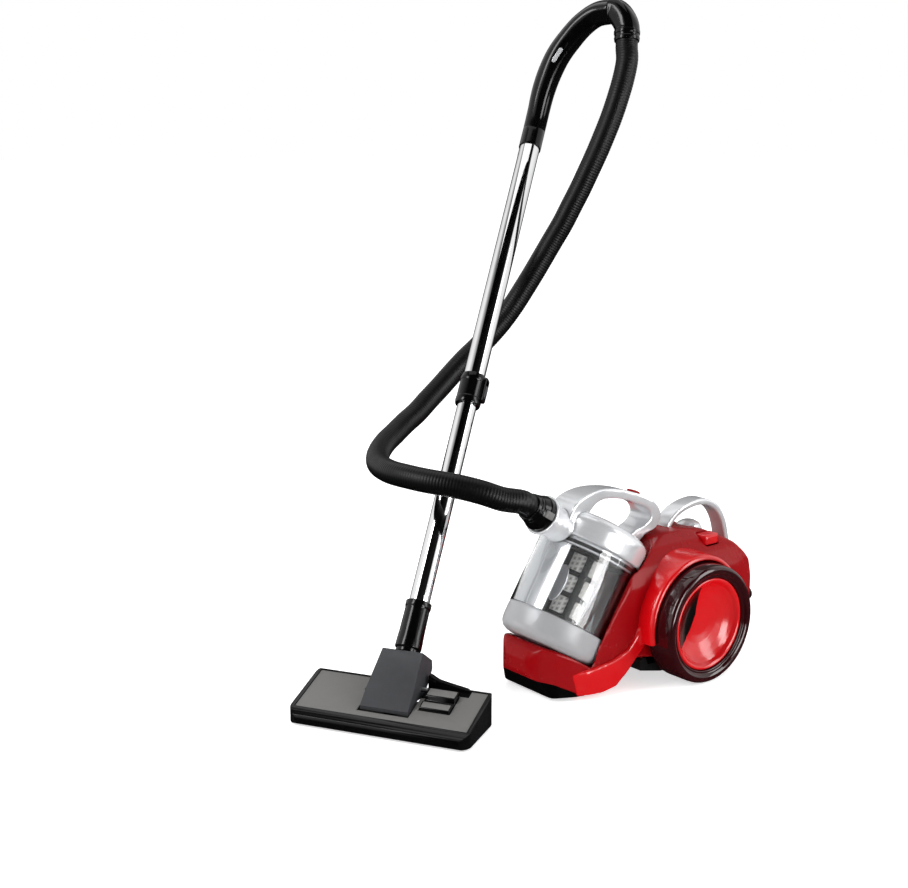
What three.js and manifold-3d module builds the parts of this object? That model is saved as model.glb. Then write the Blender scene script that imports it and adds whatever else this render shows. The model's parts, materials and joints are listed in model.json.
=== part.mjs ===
// Bagless cyclonic canister vacuum cleaner with hose, telescopic wand and floor head.
// Millimetres, +Z up. The canister's nose points along -Y and its left side is +X.
// The origin is on the floor under the middle of the whole object without its hose.
import * as THREE from 'three';
import { mergeVertices } from 'three/addons/utils/BufferGeometryUtils.js';
import Module from 'manifold-3d';

const wasm = await Module();
wasm.setup();

// ---- driving dimensions ----------------------------------------------------------
const GAP = 0.35;                 // air left between touching pieces
const AXLE = [103, 195, 0];       // floor point under the wheel axle
const WHEEL_R = 89;
const WHEEL_IN = 90;              // inner face of a wheel, from the middle plane
const WHEEL_OUT = 139;
const HUB_R = 70;
const FENDER_R = 99;
const FENDER_OUT = 112;
const BODY_HALF = 66;             // half width of the narrow middle body
const CHEEK_HALF = 86;
const PIN_R = 6.6;
const BIN_R = 76;
const BIN_BASE_H = 34;
const FOOT_LOW = -8;              // the foot bulges this far below the bin's datum
const BIN_H = 150;
const BIN_WALL = 3;
const BIN_LEAN = 33;              // degrees back from upright
const BIN_FOOT = [0, -200, 68];   // middle of the bin's underside
const LID_R = 78;
const LID_TOP = 196;
const PORT_H = 156;               // hose port above the bin's underside
const PORT_MOUTH = 118;           // port mouth from the bin's axis
const PORT_BORE = 20;
const CONNECTOR_END = 148;
const CORE_R = 37;
const CASTER = [0, -200, 0];
const CASTER_TRAIL = 17;
const CASTER_R = 14;
const YAW = 30;                   // the floor head's turn about the vertical
const WAND_LEAN = 36.7;           // the wand's lean back from upright
const PIVOT = [-45.6, -435.1, 45];
const HEAD_FRONT = [-9.6, -497.5, 0];
const LOWER_R = 14.8;
const UPPER_R = 16.5;
const TUBE_WALL = 1.2;
const LOWER_TUBE = [80, 560];
const UPPER_TUBE = [447, 932];
const GRIP_START = 906;
const HOSE_R = 17.5;
const HEAD_HALF = 133;
const HEAD_SLOPE = 15;
const PLATE_LIFT = 22;            // height of the sloping plate at its front edge
const ROUND = 36;                 // sides of the large round pieces
const SMALL_ROUND = 22;

// the grip's centreline after the wand, then the bend down to the hose
const GRIP_BEND = [[-321, 55, 826], [-314, 60, 862], [-305, 66, 892], [-294, 74, 919],
  [-280, 85, 943], [-262, 96, 965], [-239, 106, 980], [-212, 113, 983]];
const ELBOW_BEND = [[-212, 113, 983], [-198, 115.5, 977.5], [-187, 116, 965],
  [-181.6, 115, 951.4]];
const HOSE_DOWN = new THREE.Vector3(0.19, -0.19, -0.963).normalize();
const CUFF_LENGTH = 16;
// the hose's centreline between the cuff and the canister
const HOSE_RUN = [[-171, 106, 908], [-171, 99, 879], [-173, 90, 850], [-178, 82, 821],
  [-184, 73, 793], [-191, 64, 765], [-199, 55, 738], [-208, 46, 710], [-217, 36, 683],
  [-226, 26, 656], [-236, 15, 630], [-245, 3, 604], [-253, -10, 578], [-261, -24, 552],
  [-268, -39, 527], [-276, -55, 503], [-283, -74, 481], [-291, -95, 460],
  [-297, -117, 441], [-301, -139, 421], [-303, -162, 401], [-303, -186, 383],
  [-300, -211, 366], [-295, -238, 353], [-287, -264, 341], [-274, -290, 333],
  [-257, -313, 326], [-235, -333, 322], [-210, -349, 319], [-182, -359, 318],
  [-153, -364, 318], [-123, -362, 318], [-94, -355, 317], [-68, -342, 315],
  [-45, -324, 311], [-25, -303, 304], [-11, -279, 294]];

// ---- small helpers -----------------------------------------------------------------
const rad = THREE.MathUtils.degToRad;
const sin = (deg) => Math.sin(rad(deg));
const cos = (deg) => Math.cos(rad(deg));

function toSolid(geometry) {
  const bare = geometry.clone();
  bare.deleteAttribute('normal');
  bare.deleteAttribute('uv');
  const merged = mergeVertices(bare, 1e-4);
  return new wasm.Manifold(new wasm.Mesh({
    numProp: 3,
    vertProperties: new Float32Array(merged.attributes.position.array),
    triVerts: new Uint32Array(merged.index.array),
  }));
}

function toGeometry(solid) {
  const mesh = solid.getMesh();
  const geometry = new THREE.BufferGeometry();
  geometry.setAttribute('position', new THREE.BufferAttribute(mesh.vertProperties, 3));
  geometry.setIndex(new THREE.BufferAttribute(mesh.triVerts, 1));
  return geometry;
}

const join = (first, ...rest) =>
  toGeometry(rest.reduce((sum, g) => sum.add(toSolid(g)), toSolid(first)));
const cut = (first, ...rest) =>
  toGeometry(rest.reduce((sum, g) => sum.subtract(toSolid(g)), toSolid(first)));
const common = (first, ...rest) =>
  toGeometry(rest.reduce((sum, g) => sum.intersect(toSolid(g)), toSolid(first)));

const mirrorX = (geometry) => {
  const copy = geometry.clone().scale(-1, 1, 1);
  const flat = copy.index ? copy.toNonIndexed() : copy;
  const p = flat.attributes.position.array;
  for (let i = 0; i < p.length; i += 9) {
    for (let k = 0; k < 3; k += 1) [p[i + 3 + k], p[i + 6 + k]] = [p[i + 6 + k], p[i + 3 + k]];
  }
  return flat;
};

function shapeOf(points) {
  return new THREE.Shape(points.map(([a, b]) => new THREE.Vector2(a, b)));
}

// rounds every corner of a closed outline with a spline through its points
function flow(points, steps = 3) {
  const curve = new THREE.CatmullRomCurve3(
    points.map(([a, b]) => new THREE.Vector3(a, b, 0)), true, 'centripetal');
  return curve.getPoints(points.length * steps).slice(0, -1).map((v) => [v.x, v.y]);
}

function roundRect(width, height, radius, steps = 3) {
  const points = [];
  for (let corner = 0; corner < 4; corner += 1) {
    const sx = corner === 0 || corner === 3 ? 1 : -1;
    const sy = corner < 2 ? 1 : -1;
    for (let i = 0; i <= steps; i += 1) {
      const angle = 90 * (corner + i / steps);
      points.push([sx * (width / 2 - radius) + radius * cos(angle),
        sy * (height / 2 - radius) + radius * sin(angle)]);
    }
  }
  return points;
}

function prismZ(points, low, high) {
  const g = new THREE.ExtrudeGeometry(shapeOf(points), { depth: high - low, bevelEnabled: false });
  return g.translate(0, 0, low);
}

// outline in (y, z), pushed along x
function prismX(points, low, high) {
  const turn = new THREE.Matrix4().makeBasis(
    new THREE.Vector3(0, 1, 0), new THREE.Vector3(0, 0, 1), new THREE.Vector3(1, 0, 0));
  return prismZ(points, low, high).applyMatrix4(turn);
}

// outline in (x, z), pushed along y
function prismY(points, low, high) {
  const turn = new THREE.Matrix4().makeBasis(
    new THREE.Vector3(1, 0, 0), new THREE.Vector3(0, 0, 1), new THREE.Vector3(0, -1, 0));
  return prismZ(points, -high, -low).applyMatrix4(turn);
}

const box = (x0, x1, y0, y1, z0, z1) =>
  new THREE.BoxGeometry(x1 - x0, y1 - y0, z1 - z0)
    .translate((x0 + x1) / 2, (y0 + y1) / 2, (z0 + z1) / 2);

// a turned piece about z: its profile is a list of [radius, height]
function turned(profile, segments = SMALL_ROUND) {
  const g = new THREE.LatheGeometry(
    profile.map(([r, h]) => new THREE.Vector2(r, h)), segments);
  return g.rotateX(Math.PI / 2);
}

// closes a profile that doesn't touch the axis, whichever way round it is listed
function ring(profile, segments) {
  const around = THREE.ShapeUtils.isClockWise(profile.map(([r, h]) => new THREE.Vector2(r, h)))
    ? profile.slice().reverse() : profile;
  return turned([...around, around[0]], segments);
}
const tube = (outer, inner, low, high, segments = SMALL_ROUND) =>
  ring([[inner, low], [outer, low], [outer, high], [inner, high]], segments);
const rod = (radius, low, high, segments = SMALL_ROUND) =>
  turned([[0, low], [radius, low], [radius, high], [0, high]], segments);

const alongX = (geometry) => geometry.rotateY(Math.PI / 2);
const alongY = (geometry) => geometry.rotateX(-Math.PI / 2);

// a solid or bored bar laid along a curve, its radii given by the way along it
function bar(curve, steps, outerAt, innerAt = null, sides = 16) {
  const circle = (r) => Array.from({ length: sides }, (_, i) =>
    new THREE.Vector2(r * cos((360 * i) / sides), r * sin((360 * i) / sides)));
  const shape = new THREE.Shape(circle(1));
  if (innerAt) shape.holes.push(new THREE.Path(circle(0.5)));
  const g = new THREE.ExtrudeGeometry(shape, { depth: 1, steps, bevelEnabled: false });
  const { tangents, normals, binormals } = curve.computeFrenetFrames(steps, false);
  const p = g.attributes.position;
  for (let i = 0; i < p.count; i += 1) {
    const step = Math.round(p.getZ(i) * steps);
    const r = Math.hypot(p.getX(i), p.getY(i));
    const size = r > 0.75 ? outerAt(step / steps) / r : innerAt(step / steps) / r;
    const centre = curve.getPointAt(step / steps);
    centre.addScaledVector(normals[step], p.getX(i) * size);
    centre.addScaledVector(binormals[step], p.getY(i) * size);
    p.setXYZ(i, centre.x, centre.y, centre.z);
  }
  return g;
}

const spline = (points) => new THREE.CatmullRomCurve3(
  points.map((q) => (q.isVector3 ? q : new THREE.Vector3(...q))), false, 'centripetal');

// ---- materials -----------------------------------------------------------------------
const finish = (color, roughness, metalness = 0) => ({ color, roughness, metalness });
const RED = finish(0xb80d12, 0.22);
const RED_DEEP = finish(0x7d0a0e, 0.3);
const BLACK = finish(0x121212, 0.4);
const BLACK_GLOSS = finish(0x0b0b0c, 0.2);
const SMOKE = finish(0x2a1012, 0.2);
const RUBBER = finish(0x181818, 0.85);
const SILVER = finish(0xd9dadd, 0.25, 0.6);
const CHROME = finish(0xe4e5e8, 0.08, 1);
const STEEL = finish(0xa9abae, 0.35, 1);
const CLEAR = finish(0xdfe3e6, 0.08);
const FROST = finish(0xc9cccf, 0.4);
const GREY = finish(0x757575, 0.5);
const GREY_DARK = finish(0x3b3c40, 0.55);
const MESH_GREY = finish(0xb9b9b6, 0.6);
const FOAM = finish(0x4a4a4a, 0.95);
const PAPER = finish(0xe6e3da, 0.9);
const COPPER = finish(0xb4693a, 0.35, 1);

const vacuum = new THREE.Group();
const canister = new THREE.Group();
canister.position.set(...AXLE);
vacuum.add(canister);
const bin = new THREE.Group();
bin.position.set(...BIN_FOOT);
bin.rotation.x = rad(-BIN_LEAN);
canister.add(bin);
const pivot = new THREE.Group();
pivot.position.set(...PIVOT);
pivot.rotation.z = rad(YAW);
canister.add(pivot);
const wand = new THREE.Group();
wand.rotation.x = rad(-WAND_LEAN);
pivot.add(wand);
const head = new THREE.Group();
head.position.set(...HEAD_FRONT);
head.rotation.z = rad(YAW);
canister.add(head);
vacuum.updateMatrixWorld(true);

function add(group, name, geometry, look) {
  const mesh = new THREE.Mesh(geometry, new THREE.MeshStandardMaterial(look));
  mesh.name = name;
  group.add(mesh);
}

// moves a geometry from one group's frame into the canister's
function inCanister(geometry, group) {
  const m = canister.matrixWorld.clone().invert().multiply(group.matrixWorld);
  return geometry.clone().applyMatrix4(m);
}

// ---- canister body ---------------------------------------------------------------------
const SIDE = [[-238, 5], [-249, 24], [-261, 42], [-262, 60], [-256, 74], [-246, 82],
  [-192, 60], [-178, 70], [-104, 176], [-62, 192], [-26, 200], [2, 206], [41, 206],
  [84, 200], [122, 180], [150, 150], [168, 122], [174, 108], [174, 54], [160, 42],
  [60, 30], [-40, 34], [-104, 46], [-120, 30], [-140, 12], [-166, 5], [-205, 5]];
const BAY = [[-94, -5], [-94, 54], [-34, 156], [-14, 180], [18, 194], [48, 194],
  [92, 182], [128, 154], [154, 114], [160, 104], [160, 64], [150, -5]];
const CENTRE_PLAN = [[20, -263], [40, -251], [56, -232], [70, -205], [80, -150],
  [84, -100], [84, 120], [78, 150], [66, 170], [56, 176]];
const CROWN = [[-90, 0], [90, 0], [88, 120], [84, 150], [74, 176], [58, 194], [34, 205],
  [0, 208]];

const mirrored = (half) => [...half, ...half.slice().reverse().map(([x, y]) => [-x, y])];
const crown = [...CROWN, ...CROWN.slice(2, -1).reverse().map(([x, z]) => [-x, z])];

const wheelWell = () => alongX(rod(WHEEL_R + 2.5, CHEEK_HALF + 0.5, 160, ROUND))
  .translate(0, 0, WHEEL_R);
const rearHandlePath = spline([[0, 37, 186], [0, 37, 206], [0, 52, 221], [0, 78, 231],
  [0, 112, 233], [0, 142, 221], [0, 160, 198], [0, 169, 172], [0, 173, 150], [0, 168, 132]]);

// a flat strap along the rear handle's path
function strap(width, thickness, steps = 22) {
  const g = new THREE.ExtrudeGeometry(shapeOf(roundRect(width, thickness, thickness / 3, 2)),
    { depth: 1, steps, bevelEnabled: false });
  const p = g.attributes.position;
  for (let i = 0; i < p.count; i += 1) {
    const t = Math.round(p.getZ(i) * steps) / steps;
    const centre = rearHandlePath.getPointAt(t);
    const ahead = rearHandlePath.getTangentAt(t);
    const lift = p.getY(i);
    p.setXYZ(i, p.getX(i), centre.y + ahead.z * lift, centre.z - ahead.y * lift);
  }
  return g;
}

function fender() {
  const arc = [];
  for (let angle = -12; angle <= 200; angle += 10.6) {
    arc.push([-FENDER_R * cos(angle), WHEEL_R + FENDER_R * sin(angle)]);
  }
  const inner = [];
  for (let angle = 200; angle >= -12; angle -= 21.2) {
    inner.push([-(WHEEL_R - 20) * cos(angle), WHEEL_R + (WHEEL_R - 20) * sin(angle)]);
  }
  return prismX([...arc, ...inner], BODY_HALF - 12, FENDER_OUT);
}

function sweep() {
  const side = [[-99, 92], [-104, 74], [-116, 58], [-140, 47], [-176, 44], [-214, 42],
    [-206, 8], [-166, 6.4], [-140, 12.4], [-120, 30], [-104, 46], [-86, 62], [-80, 92]];
  const plan = [[40, -230], [62, -222], [78, -190], [85, -150], [88, -118], [88, -70],
    [40, -70]];
  return common(prismX(side, 30, 100), prismZ(plan, 0, 120));
}

const binSeat = () => inCanister(rod(BIN_R + 2.5, FOOT_LOW - GAP, 260, ROUND), bin);
const lidSeat = () => inCanister(rod(LID_R + 2.5, BIN_H - 6, 300, ROUND), bin);

const BUTTON_AT = { power_button: 56, rewind_button: -56 };
const BUTTON_Y = 74;
const buttonBody = (x, grow) => prismZ(
  roundRect(24 + grow, 30 + grow, 6).map(([a, b]) => [a + x, b + BUTTON_Y]),
  182 - 4 * grow, 200);
const dialSeat = () => rod(23, 176, 260, 24).translate(0, 94, 0);
const GRILLE = [-38, 38, 58, 108];     // x from, x to, z from, z to
const GLAND = [54, 82];                // x, z
const PIN_HOLE_R = PIN_R + 0.3;

// the hood and both fenders as one moulding, with every seat and hole cut
function wholeShell() {
  const middle = common(prismX(SIDE, -90, 90), prismZ(mirrored(CENTRE_PLAN), 0, 240),
    prismY(crown, -300, 200));
  const left = join(fender(), sweep());
  const whole = join(middle, left, mirrorX(left));
  const bay = common(prismX(BAY, -62, 62),
    prismY([[-62, -10], [62, -10], [62, 140], [50, 176], [30, 196], [-30, 196], [-50, 176],
      [-62, 140]], -200, 200));
  const pinHole = alongX(rod(PIN_HOLE_R, 40, 120, 20)).translate(0, 0, WHEEL_R);
  const tools = [binSeat(), lidSeat(), wheelWell(), mirrorX(wheelWell()), bay,
    pinHole, mirrorX(pinHole), strap(28 + 2 * GAP, 10 + 2 * GAP),
    rod(35, -5, 31, 28).translate(CASTER[0], CASTER[1], 0),
    rod(5.3, 30, 52, 16).translate(CASTER[0], CASTER[1], 0),
    dialSeat(), rod(5.3, 150, 190, 16).translate(0, 94, 0),
    box(GRILLE[0] - GAP, GRILLE[1] + GAP, 150, 190, GRILLE[2] - GAP, GRILLE[3] + GAP),
    alongY(rod(8.4, 150, 190, 20)).translate(GLAND[0], 0, GLAND[1])];
  for (const x of Object.values(BUTTON_AT)) tools.push(buttonBody(x, 2 * GAP));
  return cut(whole, ...tools);
}

function baseTray() {
  const side = [[-92, 24], [-92, 40], [-84, 46], [-76, 30], [60, 26], [148, 36], [152, 30],
    [120, 18], [60, 10], [0, 8], [-50, 14]];
  const floor = common(prismX(side, -84, 84), prismZ(mirrored([[84, -96], [84, 60],
    [78, 120], [66, 153]]), 0, 60));
  const vents = [];
  for (let i = 0; i < 5; i += 1) vents.push(box(-30, 30, 66 + 12 * i, 71 + 12 * i, 0, 60));
  return cut(floor, ...vents);
}

// what is left of a fender outside the shell's cheek
const fenderOutside = (whole) => common(whole,
  box(CHEEK_HALF + 0.6, FENDER_OUT + 10, -300, 200, -10, 240));

// the space that the shell's underside takes, with a little air
function shellFloorSpace(shell) {
  const lowered = shell.clone().translate(0, 0, -GAP);
  const bay = prismX(BAY, -62 + GAP, 62 - GAP);
  return toGeometry(toSolid(lowered).add(toSolid(shell)).subtract(toSolid(bay)));
}

const whole = wholeShell();
const shell = common(whole, box(-CHEEK_HALF - 0.2, CHEEK_HALF + 0.2, -300, 200, -10, 240));
add(canister, 'body_shell', shell, RED);
add(canister, 'fender_left', fenderOutside(whole), RED);
add(canister, 'fender_right', mirrorX(fenderOutside(whole)), RED);
add(canister, 'base_tray', cut(baseTray(), shellFloorSpace(shell)), BLACK);

// ---- wheels -------------------------------------------------------------------------------
function tyre() {
  return alongX(ring([[HUB_R, WHEEL_IN + 2], [WHEEL_R - 4, WHEEL_IN], [WHEEL_R, WHEEL_IN + 4],
    [WHEEL_R, WHEEL_OUT - 6], [WHEEL_R - 3, WHEEL_OUT - 1], [WHEEL_R - 7, WHEEL_OUT],
    [HUB_R + 3, WHEEL_OUT - 2], [HUB_R, WHEEL_OUT - 6]], ROUND));
}

function hub() {
  return alongX(turned([[0, 106], [PIN_HOLE_R, 106], [PIN_HOLE_R, 93], [20, 93], [24, 96],
    [HUB_R - 8, 96], [HUB_R - GAP, 99], [HUB_R - GAP, 131], [HUB_R - 2, 133], [60, 127],
    [48, 120], [32, 114], [14, 111], [0, 110.5]], ROUND));
}

const axlePin = () => alongX(turned([[0, 58], [11, 58], [11, 61.6], [PIN_R, 61.6],
  [PIN_R, 105.5], [0, 105.5]], 20));

// the pin's flange rests inside the shell's side wall
for (const [side, place] of [['left', (g) => g], ['right', mirrorX]]) {
  const wheelHeight = (g) => place(g.translate(0, 0, WHEEL_R));
  add(canister, `wheel_tyre_${side}`, wheelHeight(tyre()), SMOKE);
  add(canister, `wheel_hub_${side}`, wheelHeight(hub()), RED);
  add(canister, `axle_pin_${side}`, wheelHeight(axlePin()), STEEL);
}

function casterFork() {
  const wheelY = -CASTER_TRAIL;
  const cap = join(rod(20, 18, 30), rod(5, 29, 50, 16));
  const skirt = common(prismX([[-31, 12], [-31, 22], [-18, 29.9], [10, 29.9], [14, 22],
    [2, 13]], -12, 12), prismZ(flow([[0, -33], [10, -26], [12, 0], [8, 14], [-8, 14],
    [-12, 0], [-10, -26]]), 0, ROUND));
  const cheeks = [1, -1].map((s) => prismX([[wheelY - 6, 10], [wheelY + 6, 10],
    [wheelY + 10, 24], [wheelY - 10, 24]], s > 0 ? 8 : -11.5, s > 0 ? 11.5 : -8));
  const well = alongX(rod(CASTER_R + 1.2, -7.6, 7.6, 24)).translate(0, wheelY, CASTER_R);
  const pinBore = alongX(rod(2.3, -20, 20, 12)).translate(0, wheelY, CASTER_R);
  return cut(join(cap, skirt, ...cheeks), well, pinBore);
}

const casterPlace = (g) => g.translate(CASTER[0], CASTER[1], 0);
add(canister, 'caster_fork', casterPlace(casterFork()), BLACK);
add(canister, 'caster_wheel', casterPlace(alongX(ring([[2.4, -7], [CASTER_R - 1.5, -7],
  [CASTER_R, -5.5], [CASTER_R, 5.5], [CASTER_R - 1.5, 7], [2.4, 7]], 24))
  .translate(0, -CASTER_TRAIL, CASTER_R)), RUBBER);
add(canister, 'caster_pin', casterPlace(alongX(rod(2, -11.4, 11.4, 12))
  .translate(0, -CASTER_TRAIL, CASTER_R)), STEEL);

// ---- inside the body: motor, filters, cord reel -------------------------------------------
const MOTOR = [-15, 98];               // x and z of the motor's axis, which lies along y
const motorPlace = (g) => alongY(g).translate(MOTOR[0], 0, MOTOR[1]);

function motorHousing() {
  const cup = ring([[9, 76], [30, 76], [38, 72], [41, 66], [41, 6], [38.4, 6], [38.4, 62],
    [9, 70]], 28);
  const ports = [];
  for (let i = 0; i < 6; i += 1) {
    ports.push(box(18, 60, -7, 7, 46, 58).rotateZ(rad(60 * i)));
  }
  return cut(cup, ...ports);
}

function motorRotor() {
  const core = turned([[0, 7], [9, 7], [9, 9], [36, 9], [36, 12], [9, 12], [9, 20], [20, 20],
    [20, 52], [8, 52], [8, 58], [4, 58], [4, 82], [0, 82]], 24);
  const vanes = [];
  for (let i = 0; i < 8; i += 1) {
    vanes.push(box(6, 34, -0.8, 0.8, 10.5, 16.5).rotateZ(rad(45 * i + 4)));
  }
  return join(core, ...vanes);
}

add(canister, 'motor_housing', motorPlace(motorHousing()), BLACK);
add(canister, 'motor_rotor', motorPlace(motorRotor()), COPPER);
add(canister, 'motor_mount', motorPlace(ring([[28, -2], [41, -2], [41, 5.6], [28, 5.6]], 28)),
  RUBBER);
add(canister, 'motor_filter', motorPlace(rod(38, -12, -2.4, 28)), FOAM);
add(canister, 'exhaust_filter', exhaustFilter(), PAPER);
add(canister, 'cord_reel', reelPlace(cordReel()), GREY_DARK);
add(canister, 'reel_axle', reelPlace(join(rod(4, -15.4, 19.4, 16), rod(9, 16, 19.4, 16))), STEEL);

function exhaustFilter() {
  const pleats = [[-58, 100]];
  for (let x = -58; x < 20; x += 6) pleats.push([x, 124], [x + 3, 118]);
  pleats.push([20, 124], [20, 100]);
  return prismZ(pleats.map(([x, y]) => [x - 1, y]).reverse(), 58, 130);
}

function cordReel() {
  return ring([[4.4, -15], [50, -15], [50, -12.5], [22, -12.5], [22, 12.5], [50, 12.5],
    [50, 15], [4.4, 15]], 26);
}

function reelPlace(g) {
  return alongX(g).translate(42.2, 42, 88);
}

function exhaustGrille() {
  const [x0, x1, z0, z1] = GRILLE;
  const slats = [];
  for (let i = 0; i < 7; i += 1) {
    slats.push(box(x0 + 6, x1 - 6, 160, 180, z0 + 6 + 6 * i, z0 + 9 + 6 * i));
  }
  return cut(box(x0, x1, 169, 173.6, z0, z1), ...slats);
}

add(canister, 'exhaust_grille', exhaustGrille(), BLACK);
add(canister, 'cord_gland', alongY(ring([[4, 160], [8, 160], [8, 174.4], [11, 174.4],
  [10, 178], [4, 178]], 20)).translate(GLAND[0], 0, GLAND[1]), BLACK);

// ---- controls and rear handle ----------------------------------------------------------------
add(canister, 'rear_handle', strap(28, 10), SILVER);
add(canister, 'power_dial', turned([[0, 160], [5, 160], [5, 179], [20, 179], [22, 184],
  [21.5, 192], [17, 200], [9, 204.5], [0, 206]], 28).translate(0, 94, 0), SILVER);
for (const [name, x] of Object.entries(BUTTON_AT)) {
  const dome = common(buttonBody(x, 0), prismY([[x - 20, 184], [x + 20, 184], [x + 20, 190],
    [x + 8, 198], [x - 8, 198], [x - 20, 190]], 0, 120));
  add(canister, name, dome, RED);
}

// ---- bin ---------------------------------------------------------------------------------------
add(bin, 'bin_cup', ring([[BIN_R - BIN_WALL, BIN_BASE_H + GAP], [BIN_R, BIN_BASE_H + GAP],
  [BIN_R, BIN_H], [BIN_R - BIN_WALL, BIN_H]], ROUND), CLEAR);
add(bin, 'bin_base', turned([[0, FOOT_LOW], [60, FOOT_LOW], [70, FOOT_LOW + 4], [BIN_R - 1, FOOT_LOW + 12],
  [BIN_R, 14], [BIN_R, BIN_BASE_H], [BIN_R - BIN_WALL, BIN_BASE_H], [BIN_R - BIN_WALL, 14],
  [66, FOOT_LOW + 9], [0, FOOT_LOW + 4]], ROUND), FROST);

const portAxis = (g) => g.rotateX(Math.PI / 2).translate(0, 0, PORT_H);
const cupSpace = () => rod(BIN_R + GAP, -5, BIN_H + GAP, ROUND);

function lidDome(grow) {
  return turned([[0, BIN_H + GAP - grow], [LID_R + grow, BIN_H + GAP - grow],
    [LID_R + grow, 178], [LID_R - 2 + grow, 184 + grow], [66, 190 + grow],
    [40, 195 + grow], [0, LID_TOP + grow]], ROUND);
}

function portCollar() {
  return portAxis(turned([[0, 50], [25, 50], [25, 88], [26, 100], [28, 110],
    [30, PORT_MOUTH - 2], [30, PORT_MOUTH], [0, PORT_MOUTH]], 28));
}

function binLid() {
  const spigot = rod(69.5, 138, BIN_H + 4, ROUND);
  const chamber = turned([[0, 120], [66, 120], [66, 180], [60, 184], [0, 188]], ROUND);
  const bore = portAxis(rod(PORT_BORE, 56, 140, 28));
  const collar = cut(portCollar(), cupSpace());
  const outside = join(lidDome(0), spigot);
  return cut(join(outside, collar), chamber, bore,
    portAxis(rod(PORT_BORE + 6, PORT_MOUTH - 4, PORT_MOUTH + 5, 28)));
}

const HANDLE_SIDE = [[-186, 240], [-178, 262], [-168, 276], [-148, 284], [-120, 288],
  [-88, 285], [-48, 274], [-14, 259], [3, 243], [7, 230], [-2, 214], [-26, 204],
  [-40, 186], [-56, 176], [-70, 196], [-48, 212], [-26, 220], [-14, 230], [-18, 243], [-44, 258],
  [-88, 270], [-116, 271], [-136, 262], [-146, 246], [-150, 232]];

function binHandle() {
  const side = prismX(flow(HANDLE_SIDE, 2), -23, 23);
  const topView = prismZ(flow([[18, -196], [22, -150], [17, -100], [19, -40], [22, 16],
    [-22, 16], [-19, -40], [-17, -100], [-22, -150], [-18, -196]], 2), 100, 320);
  const tools = [inCanister(join(lidDome(GAP), cupSpace()), bin),
    inCanister(portAxis(turned([[0, 40], [25 + GAP, 40], [25 + GAP, 88], [26 + GAP, 100],
      [28 + GAP, 110], [30 + GAP, PORT_MOUTH - 2], [30 + GAP, 150], [0, 150]], 28)), bin),
    releaseBody(2 * GAP)];
  return cut(common(side, topView), ...tools);
}

function releaseBody(grow) {
  return prismZ(roundRect(14 + grow, 18 + grow, 4).map(([x, y]) => [x, y - 30]),
    258 - 4 * grow, 276);
}

add(bin, 'bin_lid', binLid(), SILVER);
add(canister, 'bin_handle', binHandle(), SILVER);
add(canister, 'bin_release', common(releaseBody(0), prismX([[-45, 250], [-45, 275.5],
  [-30, 271.5], [-15, 264], [-15, 250]], -20, 20)), RED_DEEP);
add(bin, 'lid_gasket', tube(BIN_R - BIN_WALL - GAP, 69.5 + GAP, 141, 146, ROUND), RUBBER);

function cycloneCore() {
  const windows = [];
  for (let row = 0; row < 3; row += 1) {
    for (let i = 0; i < 7; i += 1) {
      windows.push(box(25, 60, -12.5, 12.5, 46 + 31 * row, 70 + 31 * row)
        .rotateZ(rad((360 * i) / 7 - 60)));
    }
  }
  const wall = tube(CORE_R, CORE_R - 3, 40, 137.6, 28);
  const flange = tube(65, CORE_R - 3, 134, 137.6, 28);
  return cut(join(wall, flange), ...windows);
}

add(bin, 'cyclone_core', cycloneCore(), BLACK);
add(bin, 'cyclone_mesh', tube(CORE_R - 3 - GAP, CORE_R - 4.6, 41, 134, 28), MESH_GREY);
add(bin, 'cyclone_cone', ring([[18, 12], [31, 12], [CORE_R, 30], [CORE_R, 39.6],
  [CORE_R - 8, 39.6], [CORE_R - 8, 30]], 28), BLACK);
add(bin, 'inlet_plate', inletPlate(), SILVER);

// an oval plate that stands just off the core, facing the inlet
function inletPlate() {
  const oval = Array.from({ length: 20 }, (_, i) => [12 * cos(18 * i), 27 * sin(18 * i) + 84]);
  return prismY(oval, -CORE_R - 4.5, -CORE_R - 1.5).rotateZ(rad(12));
}

// ---- hose and its fittings ------------------------------------------------------------------------
add(bin, 'hose_connector', hoseConnector(), BLACK_GLOSS);
add(bin, 'connector_latch', portAxis(connectorLatch(0)), GREY);

function hoseConnector() {
  const cuff = portAxis(ring([[14, 96], [PORT_BORE - GAP, 96],
    [PORT_BORE - GAP, PORT_MOUTH + GAP], [26.5, PORT_MOUTH + GAP], [26.5, 126], [22, 138],
    [20, CONNECTOR_END], [14, CONNECTOR_END]], 28));
  return cut(cuff, portAxis(connectorLatch(2 * GAP)));
}

function connectorLatch(grow) {
  return box(22.6 - 3 * grow, 28 + grow, -5 - grow / 2, 5 + grow / 2, 121 - grow / 2,
    134 + grow / 2);
}

const portPoint = (reach) => inCanister(new THREE.BufferGeometry().setFromPoints(
  [new THREE.Vector3(0, -reach, PORT_H)]), bin).attributes.position;
const portEnd = (reach) => new THREE.Vector3().fromBufferAttribute(portPoint(reach), 0);

const elbowEnd = new THREE.Vector3(...ELBOW_BEND[ELBOW_BEND.length - 1]);
const cuffStart = elbowEnd.clone().addScaledVector(HOSE_DOWN, GAP);
const cuffEnd = elbowEnd.clone().addScaledVector(HOSE_DOWN, GAP + CUFF_LENGTH);
const hoseStart = cuffEnd.clone().addScaledVector(HOSE_DOWN, GAP);

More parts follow.
